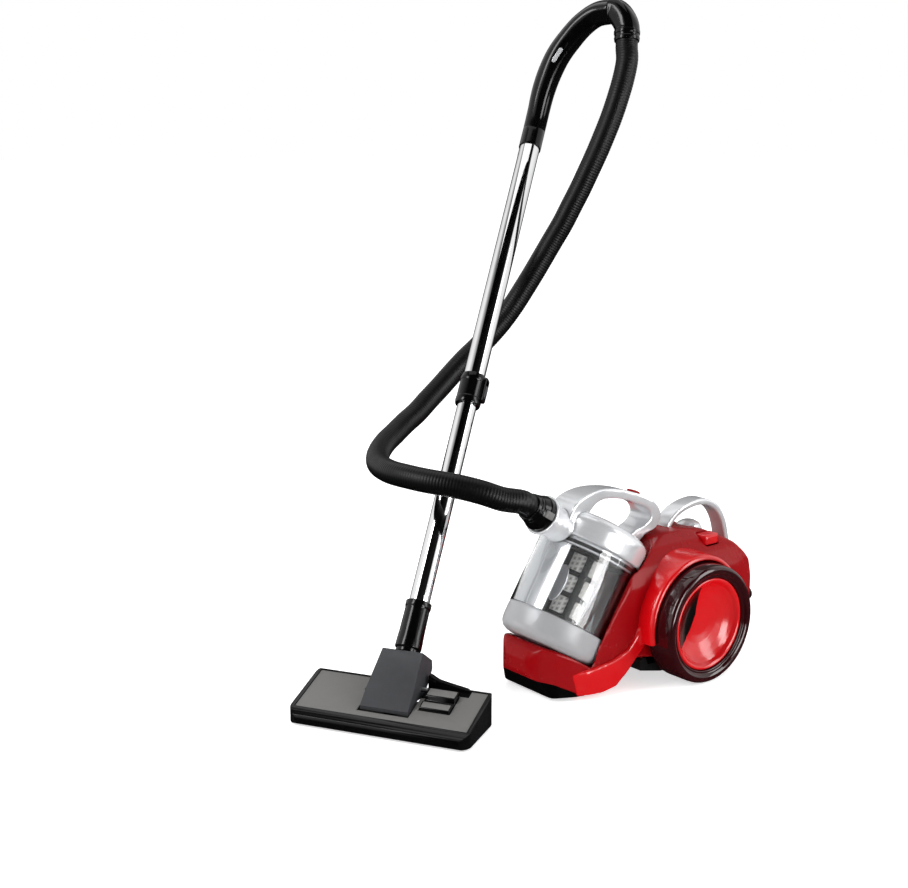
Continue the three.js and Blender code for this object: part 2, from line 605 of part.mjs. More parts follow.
const hoseCurve = spline([hoseStart, hoseStart.clone().addScaledVector(HOSE_DOWN, 10),
  ...HOSE_RUN, portEnd(CONNECTOR_END + 14), portEnd(CONNECTOR_END + GAP)]);
add(canister, 'hose', bar(hoseCurve, 44, () => HOSE_R, null, 10), BLACK);
add(canister, 'hose_cuff', bar(new THREE.LineCurve3(cuffStart, cuffEnd), 2,
  (t) => 20.5 - t, () => 13, 20), BLACK_GLOSS);

// ---- grip -------------------------------------------------------------------------------------------
const wandPoint = (z) => new THREE.Vector3(0, 0, z).applyMatrix4(
  canister.matrixWorld.clone().invert().multiply(wand.matrixWorld));
const gripCurve = spline([wandPoint(GRIP_START), wandPoint(GRIP_START + 14),
  wandPoint(GRIP_START + 28), wandPoint(GRIP_START + 38), ...GRIP_BEND]);
const SLIDER_AT = 0.6;

function sliderFrame() {
  const centre = gripCurve.getPointAt(SLIDER_AT);
  const ahead = gripCurve.getTangentAt(SLIDER_AT);
  const out = new THREE.Vector3(0.767, -0.607, 0.208);
  out.addScaledVector(ahead, -out.dot(ahead)).normalize();
  const side = new THREE.Vector3().crossVectors(ahead, out);
  return new THREE.Matrix4().makeBasis(side, ahead, out).setPosition(centre);
}

function grip() {
  const body = bar(gripCurve, 24,
    (t) => 18 + 2.2 * Math.sin(Math.PI * Math.max(0, t - 0.25) / 0.75), () => 12.5, 16);
  const socket = rod(UPPER_R + GAP, GRIP_START - 5, UPPER_TUBE[1] + 1.5, 24);
  const pocket = prismZ(roundRect(9, 40, 3), 16.2, 30).applyMatrix4(sliderFrame());
  return cut(body, pocket, inCanister(socket, wand));
}

add(canister, 'grip', grip(), BLACK_GLOSS);
add(canister, 'suction_slider', join(
  prismZ(roundRect(8.2, 26, 3), 16.6, 20.2).translate(0, -6, 0),
  box(-4, 4, -9, -3, 20, 22)).applyMatrix4(sliderFrame()), GREY);

function gripElbow() {
  const start = gripCurve.getPointAt(1);
  const ahead = gripCurve.getTangentAt(1);
  const path = spline([start.clone().addScaledVector(ahead, 2 * GAP),
    start.clone().addScaledVector(ahead, 5), ...ELBOW_BEND.slice(1, -1),
    elbowEnd.clone().addScaledVector(HOSE_DOWN, -5), elbowEnd]);
  return bar(path, 9, () => 20.5, () => 12.5, 16);
}

add(canister, 'grip_elbow', gripElbow(), BLACK_GLOSS);

// ---- telescopic wand ----------------------------------------------------------------------------------
function lowerTube() {
  const notches = [];
  for (let i = 0; i < 7; i += 1) {
    notches.push(box(LOWER_R - 0.8, 20, -3, 3, 150 + 42 * i, 156 + 42 * i));
  }
  return cut(tube(LOWER_R, LOWER_R - TUBE_WALL - 0.4, ...LOWER_TUBE, 28), ...notches);
}

function latchSleeve() {
  const body = ring([[LOWER_R + GAP, 436], [19, 436], [20, 440], [20, 478], [18.5, 486],
    [UPPER_R + GAP, 486], [UPPER_R + GAP, 446.6], [LOWER_R + GAP, 446.6]], 28);
  const rail = common(box(15, 25, -8, 8, 444, 482), rod(24.5, 440, 490, 28));
  const keep = rod(UPPER_R + GAP, 400, 500, 28);
  return cut(join(body, cut(rail, keep)), latchBody(2 * GAP));
}

function latchBody(grow) {
  return box(20.8 - grow / 2, 26, -5 - grow / 2, 5 + grow / 2,
    grow ? 449 : 450, grow ? 479 : 470);
}

add(wand, 'upper_tube', tube(UPPER_R, LOWER_R + GAP, ...UPPER_TUBE, 28), CHROME);
add(wand, 'lower_tube', lowerTube(), CHROME);
add(wand, 'latch_sleeve', latchSleeve(), BLACK_GLOSS);
add(wand, 'latch_button', latchBody(0), GREY_DARK);

// ---- floor head ------------------------------------------------------------------------------------------
function neckSocket() {
  return ring([[12, 47], [16.6, 47], [16.6, 52], [19, 54], [18.4, 78], [18, 116],
    [18.6, 118], [18.6, 122], [LOWER_R + GAP, 122], [LOWER_R + GAP, 79], [12, 79]], 28);
}
add(wand, 'neck_socket', neckSocket(), BLACK_GLOSS);

const toPivot = (g) => g.applyMatrix4(new THREE.Matrix4().makeRotationX(rad(-WAND_LEAN)));
const YOKE_SIDE = [[-52, -19], [-52, -14], [8, 42], [14, 47], [42, 27], [40, 16], [24, 2],
  [13, -5], [8, -11], [0, -14], [-9, -11], [-18, -10]];

function headYoke() {
  const wedge = common(prismX(YOKE_SIDE, -37, 37),
    prismY([[-36, -30], [36, -30], [35, 5], [29, 60], [-29, 60], [-35, 5]], -80, 80));
  return cut(wedge, toPivot(rod(12, -40, 90, 24)), toPivot(rod(17, 45.5, 53.5, 28)),
    toPivot(rod(19.5, 53.2, 90, 28)),
    alongX(rod(3.3, -60, -20, 16)), alongX(rod(3.3, 20, 60, 16)));
}
add(pivot, 'head_yoke', headYoke(), GREY_DARK);
for (const [side, low, high] of [['left', 21, 44], ['right', -44, -21]]) {
  add(pivot, `yoke_pin_${side}`, alongX(rod(3, low, high, 16)), STEEL);
}

const slope = (y) => PLATE_LIFT + y * Math.tan(rad(HEAD_SLOPE));
const PIVOT_Y = 72;
const PEDAL = [46, 90, 34, 72];
const ROLLERS = {
  front_left: [112, 2, 6.5], front_right: [-112, 2, 6.5],
  rear_left: [112, 86, 9], rear_right: [-112, 86, 9],
};

function headBody() {
  const side = [[-12, 3], [-12, 14], [-8, 19], [-2, slope(-2) + 1], [90, slope(90) + 1],
    [96, slope(90) - 3], [98, 34], [98, 3]];
  const plan = roundRect(2 * HEAD_HALF, 110, 18, 4).map(([x, y]) => [x, y + 43]);
  const outer = common(prismX(side, -HEAD_HALF, HEAD_HALF), prismZ(plan, 0, 90));
  const hump = common(prismY([[38, 20], [38, 62], [52, 54], [74, 50], [98, 46], [102, 20]],
    74, 95), prismZ([[30, 60], [110, 60], [110, 100], [30, 100]], 0, 90));
  const inlay = prismX([[3, slope(3) - 2.8], [87, slope(87) - 2.8], [87, 90], [3, 90]],
    -127, 127);
  const cavity = prismX([[2, -1], [2, slope(2) - 6.5], [84, slope(84) - 6.5], [84, -1]],
    -98, 98);
  const well = box(-38, 38, 15, 120, 14, 120);
  const wellWall = box(-41.5, 41.5, 11, 120, 11, 120);
  const pedalHole = box(PEDAL[0] - 1, PEDAL[1] + 1, PEDAL[2] - 1, PEDAL[3] + 1, 10, 90);
  const tools = [inlay, cut(cavity, wellWall), well, pedalHole,
    box(-14, 14, 46, 74, 5, 20),
    alongX(rod(3.3, -46, 46, 16)).translate(0, PIVOT_Y, 45)];
  for (const [x, y, r] of Object.values(ROLLERS)) {
    tools.push(alongX(rod(r + 1, -7, 7, 24)).translate(x, y, r));
    tools.push(alongX(rod(2.4, -10, 10, 12)).translate(x, y, r));
    tools.push(box(x - 10, x + 10, y - 2.4, y + 2.4, -5, r));
  }
  const ears = [1, -1].map((s) => prismX([[60, 12], [64, 50], [80, 50], [92, 40], [95, 12]],
    s > 0 ? 38 : -46, s > 0 ? 46 : -38));
  return cut(join(outer, cut(hump, well), ...ears), ...tools);
}

function topPlate() {
  const low = (y) => slope(y) - 2.5;
  const slab = prismX([[3.4, low(3.4)], [86.6, low(86.6)], [86.6, slope(86.6)],
    [3.4, slope(3.4)]], -126.6, 126.6);
  return cut(slab, box(-38.4, 38.4, 14.6, 120, 0, 90), box(-46.4, 46.4, 59, 120, 0, 90),
    box(PEDAL[0] - 1, PEDAL[1] + 1, PEDAL[2] - 1, PEDAL[3] + 1, 0, 90),
    box(37, 103, 73.6, 120, 0, 90));
}

function pedal() {
  const [x0, x1, y0, y1] = PEDAL;
  const base = prismX([[y0, slope(y0) - 6], [y0, slope(y0) + 4], [y0 + 13, slope(y0 + 13) + 5],
    [y0 + 14, slope(y0 + 14) + 1], [y0 + 21, slope(y0 + 21) + 1],
    [y0 + 22, slope(y0 + 22) + 7], [y1, slope(y1) + 8], [y1, slope(y1) - 6]], x0, x1);
  return base;
}

function solePlate() {
  const plan = roundRect(195, 81, 4).map(([x, y]) => [x, y + 43]);
  return cut(prismZ(plan, 3, 4.6), box(-80, 80, 36, 56, 0, 10), box(-90, 90, 11.6, 18.4, 0, 10));
}

add(head, 'head_body', headBody(), BLACK);
add(head, 'top_plate', topPlate(), GREY);
add(head, 'brush_pedal', pedal(), BLACK_GLOSS);
add(head, 'sole_plate', solePlate(), STEEL);
add(head, 'brush_strip', box(-89.4, 89.4, 12.2, 17.8, 5.2, 10.4), FOAM);
for (const [place, [x, y, r]] of Object.entries(ROLLERS)) {
  add(head, `roller_${place}`, alongX(join(rod(r, -6.2, 6.2, 20), rod(2, -9.4, 9.4, 12)))
    .translate(x, y, r), RUBBER);
}

export default vacuum;
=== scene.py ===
# %% [markdown]
# # A bagless canister vacuum cleaner
# The canister rolls on two big wheels and a caster, carries a clear dust bin on its
# nose, and is joined by a bent hose to a grip, a chrome telescopic wand and a floor
# head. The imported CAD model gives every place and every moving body, so the script
# loads it first and builds each surface that shows around it.

# %% Load the frame
import json
import math

import bmesh
import bpy
from mathutils import Matrix, Vector


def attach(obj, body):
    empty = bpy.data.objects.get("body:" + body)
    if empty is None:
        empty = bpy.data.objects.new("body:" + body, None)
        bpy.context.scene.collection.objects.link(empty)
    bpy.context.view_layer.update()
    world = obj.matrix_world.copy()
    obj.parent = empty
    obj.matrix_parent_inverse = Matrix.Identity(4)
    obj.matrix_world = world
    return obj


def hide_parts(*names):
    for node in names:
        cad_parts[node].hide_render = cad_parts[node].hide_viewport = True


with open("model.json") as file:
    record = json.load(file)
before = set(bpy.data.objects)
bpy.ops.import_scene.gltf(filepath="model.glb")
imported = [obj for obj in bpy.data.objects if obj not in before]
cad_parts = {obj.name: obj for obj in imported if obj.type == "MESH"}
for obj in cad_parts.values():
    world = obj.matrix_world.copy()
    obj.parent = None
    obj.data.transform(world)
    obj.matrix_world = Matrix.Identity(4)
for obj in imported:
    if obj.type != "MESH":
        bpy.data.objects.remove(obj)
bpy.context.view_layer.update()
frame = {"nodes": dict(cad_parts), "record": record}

# %% [markdown]
# Every part of the cleaner is easiest to draw in its own axes: the bin leans back,
# the wand leans over a floor head that is turned sideways. The joints in the record
# say where those axes are, so each local frame below is a matrix made from a joint's
# place and direction. A frame also turns millimetres into metres.

# %% Local frames, in millimetres
MM = 0.001
UP = Vector((0, 0, 1))
ACROSS = Vector((1, 0, 0))
PORT_REACH, PORT_HEIGHT = 120, 156
HEAD_PIVOT_BACK = 72

joints = {joint["name"]: joint for joint in frame["record"]["behaviour"]["joints"]}


def spot(joint):
    return Vector(joints[joint]["pos_m"])


def heading(joint):
    return Vector(joints[joint]["axis"]).normalized()


def local(origin, up, across):
    up = up.normalized()
    across = (across - up * across.dot(up)).normalized()
    turn = Matrix((across, up.cross(across), up)).transposed().to_4x4()
    return Matrix.Translation(origin) @ turn @ Matrix.Scale(MM, 4)


axle_middle = (spot("wheel_left_spin") + spot("wheel_right_spin")) / 2
FLOOR = local(Vector((axle_middle.x, axle_middle.y, 0)), UP, ACROSS)
WHEEL_LEFT = local(axle_middle, ACROSS, Vector((0, 1, 0)))
WHEEL_RIGHT = local(axle_middle, -ACROSS, Vector((0, 1, 0)))
lift, port_way = heading("bin_lift"), heading("hose_connector_swivel")
bin_foot = spot("hose_connector_swivel") - (port_way * PORT_REACH + lift * PORT_HEIGHT) * MM
BIN = local(bin_foot, lift, ACROSS)
PORT = local(bin_foot + lift * PORT_HEIGHT * MM, port_way, ACROSS)
pivot, head_across = spot("head_tilt"), heading("head_tilt")
WAND = local(pivot, heading("telescope_slide"), head_across)
YOKE = local(pivot, UP, head_across)
head_back = UP.cross(head_across)
head_origin = pivot - head_back * HEAD_PIVOT_BACK * MM
HEAD = local(Vector((head_origin.x, head_origin.y, 0)), UP, head_across)
print("bin foot", [round(c, 4) for c in bin_foot], "pivot", [round(c, 4) for c in pivot])

# %% [markdown]
# The camera comes before any surface, because the hose has to be judged against what
# it sees. It stands low and to the left of the cleaner's nose, about two metres off,
# with a lens a little longer than normal, so that the wheels keep their true shape.

# %% Camera
VIEW_AZIMUTH, VIEW_ELEVATION = 51.6, 12
VIEW_DISTANCE, LENS_MM = 2.1, 56.26
LOOK_AT = Vector((-0.052, -0.056, 0.345))

azimuth, elevation = math.radians(VIEW_AZIMUTH), math.radians(VIEW_ELEVATION)
toward_camera = Vector((math.sin(azimuth) * math.cos(elevation),
                        -math.cos(azimuth) * math.cos(elevation), math.sin(elevation)))
lens = bpy.data.cameras.new("camera")
lens.lens = LENS_MM
lens.sensor_width = 36
camera = bpy.data.objects.new("camera", lens)
camera.location = LOOK_AT + toward_camera * VIEW_DISTANCE
camera.rotation_euler = (-toward_camera).to_track_quat("-Z", "Y").to_euler()
bpy.context.scene.collection.objects.link(camera)
bpy.context.scene.camera = camera
print("camera at", [round(c, 3) for c in camera.location])

# %% [markdown]
# Three small helpers make nearly every shape. A skin is drawn over a row of rings,
# which covers turned pieces and pieces swept along a path. Corners in a profile are
# rounded by swapping each for a short curve, because a moulded edge always has a
# radius and it is that radius which catches the light.

# %% Skins, rounded corners and turned pieces
LARGE_ROUND = 112


def skin(name, rings, where=FLOOR, loop=False):
    count = len(rings[0])
    faces = []
    for i in range(len(rings) if loop else len(rings) - 1):
        a, b = i * count, (i + 1) % len(rings) * count
        for k in range(count):
            n = (k + 1) % count
            faces.append((a + k, a + n, b + n, b + k))
    total = len(rings) * count
    if not loop:
        faces += [tuple(range(count)), tuple(range(total - count, total))]
    mesh = bpy.data.meshes.new(name)
    mesh.from_pydata([where @ Vector(p) for ring in rings for p in ring], [], faces)
    work = bmesh.new()
    work.from_mesh(mesh)
    bmesh.ops.remove_doubles(work, verts=work.verts, dist=1e-6)
    bmesh.ops.dissolve_degenerate(work, edges=work.edges, dist=1e-7)
    bmesh.ops.recalc_face_normals(work, faces=work.faces)
    work.to_mesh(mesh)
    work.free()
    thing = bpy.data.objects.new(name, mesh)
    bpy.context.scene.collection.objects.link(thing)
    return thing


def rounded(outline, radius, steps=4, closed=True):
    """Swaps each corner that isn't on the axis of turning for a short curve."""
    out = []
    for i, (x, y) in enumerate(outline):
        before, after = outline[i - 1], outline[(i + 1) % len(outline)]
        here = Vector((x, y))
        ways = [Vector(before) - here, Vector(after) - here]
        ends = not closed and i in (0, len(outline) - 1)
        if ends or min(w.length for w in ways) < 1e-6 or radius == 0 or x == 0:
            out.append((x, y))
            continue
        a, b = [here + w * min(radius / w.length, 0.46) for w in ways]
        for step in range(steps + 1):
            t = step / steps
            p = a * (1 - t) ** 2 + here * 2 * t * (1 - t) + b * t ** 2
            out.append((p.x, p.y))
    return out


def turned(name, profile, where, edge=1.0, sides=LARGE_ROUND, steps=4):
    profile = rounded(profile, edge, steps)
    rings = []
    for i in range(sides):
        turn = 2 * math.pi * i / sides
        rings.append([(r * math.cos(turn), r * math.sin(turn), h) for r, h in profile])
    return skin(name, rings, where, loop=True)


# %% [markdown]
# Flat mouldings start as an outline pushed to a thickness. Their outlines are lists
# of a few points, drawn either straight or as a flowing curve through the points. A
# centripetal curve is used for that, because it never loops or overshoots between
# points that lie unevenly.

# %% Flowing curves and slabs
def route(points, count, closed=False):
    """Points at even steps along a centripetal curve through the given ones."""
    knots = [Vector(p) for p in points]
    if closed:
        knots = [knots[-1]] + knots + knots[:2]
    else:
        knots = [knots[0] * 2 - knots[1]] + knots + [knots[-1] * 2 - knots[-2]]
    fine = []
    for i in range(1, len(knots) - 2):
        p0, p1, p2, p3 = knots[i - 1:i + 3]
        d0, d1, d2 = [max((b - a).length, 1e-9) ** 0.5 for a, b in ((p0, p1), (p1, p2), (p2, p3))]
        m1 = ((p1 - p0) / d0 - (p2 - p0) / (d0 + d1) + (p2 - p1) / d1) * d1
        m2 = ((p2 - p1) / d1 - (p3 - p1) / (d1 + d2) + (p3 - p2) / d2) * d1
        for step in range(24):
            t = step / 24
            fine.append(p1 * (2 * t ** 3 - 3 * t ** 2 + 1) + m1 * (t ** 3 - 2 * t ** 2 + t)
                        + p2 * (3 * t ** 2 - 2 * t ** 3) + m2 * (t ** 3 - t ** 2))
    fine.append(knots[-2])
    reach = [0.0]
    for a, b in zip(fine, fine[1:]):
        reach.append(reach[-1] + (b - a).length)
    out, k = [], 0
    for i in range(count):
        want = reach[-1] * i / (count if closed else count - 1)
        while k < len(fine) - 2 and reach[k + 1] < want:
            k += 1
        span = max(reach[k + 1] - reach[k], 1e-12)
        out.append(fine[k].lerp(fine[k + 1], (want - reach[k]) / span))
    return out


def flowing(outline, count=120):
    return [tuple(p) for p in route(outline, count, closed=True)]


# each way of pushing an outline: outline axes (a, b) and depth c to x, y, z
PUSH = {"x": lambda a, b, c: (c, a, b), "y": lambda a, b, c: (a, c, b),
        "z": lambda a, b, c: (a, b, c)}


def slab(name, outline, low, high, where=FLOOR, push="z"):
    way = PUSH[push]
    return skin(name, [[way(a, b, c) for a, b in outline] for c in (low, high)], where)


def block(name, x0, x1, y0, y1, z0, z1, where=FLOOR):
    return slab(name, [(x0, y0), (x1, y0), (x1, y1), (x0, y1)], z0, z1, where)


def round_rect(width, depth, radius, middle=(0, 0), steps=6):
    out = []
    for corner in range(4):
        sx, sy = (1, -1, -1, 1)[corner], (1, 1, -1, -1)[corner]
        for i in range(steps + 1):
            turn = math.radians(90 * (corner + i / steps))
            out.append((middle[0] + sx * (width / 2 - radius) + radius * math.cos(turn),
                        middle[1] + sy * (depth / 2 - radius) + radius * math.sin(turn)))
    return out


# %% [markdown]
# Cutting, joining and rounding are modifiers whose result is kept. Small pieces get
# a bevel. The big mouldings go through a voxel remesh and a little smoothing
# instead, because that runs one soft radius along every edge and inner corner at
# once, as the wall of an injection mould does.

# %% Cut, bevel and soften
def settle(thing):
    graph = bpy.context.evaluated_depsgraph_get()
    kept = bpy.data.meshes.new_from_object(thing.evaluated_get(graph))
    thing.modifiers.clear()
    old, thing.data = thing.data, kept
    bpy.data.meshes.remove(old)
    return thing


def combine(thing, operation, tools):
    for tool in tools:
        cutter = thing.modifiers.new("cut", "BOOLEAN")
        cutter.operation = operation
        cutter.solver = "EXACT"
        cutter.object = tool
    settle(thing)
    for tool in tools:
        bpy.data.objects.remove(tool)
    return thing


def carve(thing, *tools):
    return combine(thing, "DIFFERENCE", tools)


def overlap(thing, *tools):
    return combine(thing, "INTERSECT", tools)


def heap(thing, *others):
    """Puts meshes that may overlap into one object, for a remesh to melt together."""
    work = bmesh.new()
    for one in (thing,) + others:
        work.from_mesh(one.data)
    work.to_mesh(thing.data)
    work.free()
    for one in others:
        bpy.data.objects.remove(one)
    return thing


def bevelled(thing, width, steps=3, angle=30):
    bevel = thing.modifiers.new("bevel", "BEVEL")
    bevel.width = width * MM
    bevel.segments = steps
    bevel.limit_method = "ANGLE"
    bevel.angle_limit = math.radians(angle)
    bevel.miter_outer = "MITER_ARC"
    return settle(thing)


def softened(thing, voxel, passes):
    grid = thing.modifiers.new("voxels", "REMESH")
    grid.mode = "VOXEL"
    grid.voxel_size = voxel * MM
    calm = thing.modifiers.new("smooth", "SMOOTH")
    calm.factor = 0.5
    calm.iterations = passes
    return settle(thing)


# %% [markdown]
# ## Finishes
# A colour is written as the hex value that a paint chart or a screen would give, and
# one function turns it to the linear values that light is added up in. Every finish
# uses the Principled shader, and its patterns run on object coordinates: these are in
# metres here, so a pattern's scale is one over its real size.

# %% Colour and node helpers
def linear(chart):
    parts = [int(chart[i:i + 2], 16) / 255 for i in (1, 3, 5)]
    return tuple(c / 12.92 if c <= 0.04045 else ((c + 0.055) / 1.055) ** 2.4
                 for c in parts) + (1,)


def add(tree, kind, inputs=None, **settings):
    """One node, its settings, and its inputs: a number, a colour, or an output to link."""
    node = tree.nodes.new("ShaderNode" + kind)
    for key, value in settings.items():
        setattr(node, key, value)
    for key, value in (inputs or {}).items():
        if isinstance(value, bpy.types.NodeSocket):
            tree.links.new(value, node.inputs[key])
        else:
            node.inputs[key].default_value = value
    return node


def start(name, **shader):
    """A material with its Principled shader and its place on the object."""
    material = bpy.data.materials.new(name)
    material.use_nodes = True
    tree = material.node_tree
    surface = tree.nodes["Principled BSDF"]
    for key, value in shader.items():
        surface.inputs[key.replace("_", " ")].default_value = value
    place = add(tree, "TexCoord").outputs["Object"]
    return material, tree, surface, place


def join_to(tree, surface, **links):
    for key, output in links.items():
        tree.links.new(output, surface.inputs[key.replace("_", " ")])


# %% [markdown]
# Most of the cleaner is injection-moulded ABS. Polished moulds give the red and the
# glossy black, fine spark-eroded moulds the satin ones. The eye reads a moulding from
# three faint things: a slow ripple in the gloss where the wall shrank, a fine grain
# or orange peel, and edges that hands have rubbed duller or paler. One recipe holds
# all three, with the sizes in millimetres.

# %% Moulded ABS
RIPPLE_MM = 45
HANDLING_MM = 12


def moulded_abs(name, colour, worn, roughness, grain_mm, grain_depth_mm, spread=0.06,
                coat=0.0, gloss=0.5):
    material, tree, surface, place = start(
        name, Coat_Weight=coat, Coat_Roughness=0.05, IOR=1.5, Specular_IOR_Level=gloss)
    ripple = add(tree, "TexNoise", {"Vector": place, "Scale": 1000 / RIPPLE_MM, "Detail": 2.0})
    touched = add(tree, "TexNoise", {"Vector": place, "Scale": 1000 / HANDLING_MM,
                                     "Detail": 5.0, "Roughness": 0.65})
    mixed = add(tree, "Math", {0: ripple.outputs["Fac"], 1: touched.outputs["Fac"]},
                operation="MULTIPLY")
    rough = add(tree, "MapRange", {"Value": mixed.outputs[0], "From Min": 0.12,
                                   "From Max": 0.42, "To Min": roughness - spread / 2,
                                   "To Max": roughness + spread})
    edges = add(tree, "NewGeometry").outputs["Pointiness"]
    rubbed = add(tree, "MapRange", {"Value": edges, "From Min": 0.52, "From Max": 0.62,
                                    "To Min": 0.0, "To Max": 0.5})
    patchy = add(tree, "Math", {0: rubbed.outputs[0], 1: touched.outputs["Fac"]},
                 operation="MULTIPLY")
    tint = add(tree, "Mix", {"Factor": patchy.outputs[0], "A": linear(colour),
                             "B": linear(worn)}, data_type="RGBA")
    grain = add(tree, "TexNoise", {"Vector": place, "Scale": 1000 / grain_mm, "Detail": 3.0})
    relief = add(tree, "Bump", {"Height": grain.outputs["Fac"], "Strength": 1.0,
                                "Distance": grain_depth_mm * MM})
    join_to(tree, surface, Base_Color=tint.outputs["Result"], Roughness=rough.outputs[0],
            Normal=relief.outputs[0])
    return material


red_abs = moulded_abs("red_gloss_abs", "#c4060e", "#e0343c", 0.18, 2.4, 0.006, coat=0.15)
# A darker red for two uses: the release key's own deep red, and painted shade on the hood, which
# is the fenders' red plastic drawn darker for the shade it lies in behind the bin.
deep_red_and_painted_shade_abs = moulded_abs("deep_red_and_painted_shade_gloss_abs", "#8c0309", "#a0181e", 0.24, 2.4, 0.006,
                           gloss=0.14)
black_gloss_abs = moulded_abs("black_gloss_abs", "#040404", "#121213", 0.14, 2.0, 0.005,
                              gloss=0.25)
black_satin_abs = moulded_abs("black_satin_abs", "#0a0a0a", "#1f1f20", 0.36, 0.9, 0.02,
                              gloss=0.3)
grey_plate_abs = moulded_abs("mid_grey_grained_abs", "#696866", "#7f7f7d", 0.5, 0.7, 0.03)
dark_grey_abs = moulded_abs("dark_grey_grained_abs", "#2a2b2f", "#45464a", 0.52, 0.7, 0.03)
hose_black = moulded_abs("hose_black_polyethylene", "#040404", "#101011", 0.4, 1.6, 0.01,
                         gloss=0.2)
tyre_rubber = moulded_abs("caster_rubber", "#151515", "#2b2b2a", 0.75, 0.8, 0.05)
print("moulded finishes at", RIPPLE_MM, "mm ripple and", HANDLING_MM, "mm handling marks")

# %% [markdown]
# The lid, the handles and the dial are ABS under a silver lacquer. The lacquer has
# aluminium flakes some tenths of a millimetre wide that lie almost flat, so it is a
# metal to the light, but a softer one than chrome. The flakes are drawn as small
# cells, about 0.8 mm wide here, since real ones are too fine to show.

# %% Silver lacquer
FLAKE_MM = 0.8

silver_lacquer, tree, surface, place = start("silver_lacquer_on_abs", Metallic=0.5,
                                             Coat_Weight=0.3, Coat_Roughness=0.04)
flakes = add(tree, "TexVoronoi", {"Vector": place, "Scale": 1000 / FLAKE_MM})
cloud = add(tree, "TexNoise", {"Vector": place, "Scale": 1000 / 30, "Detail": 4.0})
shade = add(tree, "MapRange", {"Value": cloud.outputs["Fac"], "To Min": 0.17, "To Max": 0.3})
tint = add(tree, "Mix", {"Factor": flakes.outputs["Distance"], "A": linear("#e6e7e9"),
                         "B": linear("#d0d2d5")}, data_type="RGBA")
relief = add(tree, "Bump", {"Height": flakes.outputs["Distance"], "Strength": 0.35,
                            "Distance": 0.01 * MM})
join_to(tree, surface, Base_Color=tint.outputs["Result"], Roughness=shade.outputs[0],
        Normal=relief.outputs[0])
print("silver lacquer with", FLAKE_MM, "mm flakes")

# %% [markdown]
# The wand is thin steel tube, polished and chromium plated. Chrome takes nearly all
# its look from the room, so its own detail is small: fine rub marks along the tube
# where the telescope slides, and a little haze from fingers. The pins and the sole
# plate are plain steel with the brushed lines of a rolled strip.

# %% Chrome and steel
GRAZING_SHADE_TINT = "#606164"  # painted shade: the metal's reflection is darkened where it grazes the edges of a tube


def metal(name, colour, roughness, haze, line_mm, stretch, depth_mm):
    material, tree, surface, place = start(name, Metallic=1.0)
    surface.inputs["Specular Tint"].default_value = linear(GRAZING_SHADE_TINT)
    long = add(tree, "Mapping", {"Vector": place, "Scale": stretch})
    lines = add(tree, "TexNoise", {"Vector": long.outputs[0], "Scale": 1000 / line_mm,
                                   "Detail": 2.0})
    haze_map = add(tree, "TexNoise", {"Vector": place, "Scale": 1000 / 25, "Detail": 4.0})
    rough = add(tree, "MapRange", {"Value": haze_map.outputs["Fac"], "From Min": 0.4,
                                   "From Max": 0.7, "To Min": roughness,
                                   "To Max": roughness + haze})
    tint = add(tree, "Mix", {"Factor": haze_map.outputs["Fac"], "A": linear(colour),
                             "B": linear("#dcdcdb")}, data_type="RGBA")
    relief = add(tree, "Bump", {"Height": lines.outputs["Fac"], "Strength": 0.5,
                                "Distance": depth_mm * MM})
    join_to(tree, surface, Base_Color=tint.outputs["Result"], Roughness=rough.outputs[0],
            Normal=relief.outputs[0])
    return material


polished_chrome = metal("chromium_plated_tube", "#eeeef0", 0.03, 0.06, 1.5, (1, 1, 0.08), 0.002)
bright_steel = metal("rolled_steel", "#b5b6b8", 0.28, 0.15, 0.6, (0.06, 1, 1), 0.01)
wound_copper = metal("wound_copper", "#b8693c", 0.3, 0.15, 0.9, (1, 0.1, 1), 0.05)

# %% [markdown]
# The bin is clear polycarbonate, polished outside. Used ones carry fine scuffs from
# the dust that whirls inside, which show as faint level lines. The wheel rims are the
# same plastic tinted a smoky maroon, and the bin's foot is frosted in the mould.

# %% Clear, smoked and frosted polycarbonate
def polycarbonate(name, colour, roughness, scuff, clear, ior=1.5):
    material, tree, surface, place = start(name, Transmission_Weight=clear, IOR=ior)
    surface.inputs["Base Color"].default_value = linear(colour)
    rings = add(tree, "Mapping", {"Vector": place, "Scale": (0.2, 0.2, 1)})
    scuffs = add(tree, "TexNoise", {"Vector": rings.outputs[0], "Scale": 1000 / 1.5,
                                    "Detail": 4.0})
    haze = add(tree, "TexNoise", {"Vector": place, "Scale": 1000 / 40, "Detail": 3.0})
    both = add(tree, "Math", {0: scuffs.outputs["Fac"], 1: haze.outputs["Fac"]},
               operation="MULTIPLY")
    rough = add(tree, "MapRange", {"Value": both.outputs[0], "From Min": 0.15,
                                   "From Max": 0.45, "To Min": roughness,
                                   "To Max": roughness + scuff})
    relief = add(tree, "Bump", {"Height": haze.outputs["Fac"], "Strength": 0.4,
                                "Distance": 0.02 * MM})
    join_to(tree, surface, Roughness=rough.outputs[0], Normal=relief.outputs[0])
    return material


clear_cup = polycarbonate("clear_polycarbonate", "#f4f5f6", 0.01, 0.05, 1.0)
frosted_foot = polycarbonate("frosted_polycarbonate", "#d9dadc", 0.28, 0.15, 0.65)
smoked_rim = polycarbonate("smoked_maroon_polycarbonate", "#30090d", 0.05, 0.08, 0.25)

# %% [markdown]
# Hidden parts get true finishes too, because the bin lifts off and the rear grille
# swings down. The cyclone's screen is a woven cloth with threads 0.6 mm apart, drawn
# 1.6 mm apart so that it shows. Foam has open cells, and the pleated filter is paper.

# %% Screen cloth, foam, paper and bristle
THREAD_MM = 1.6


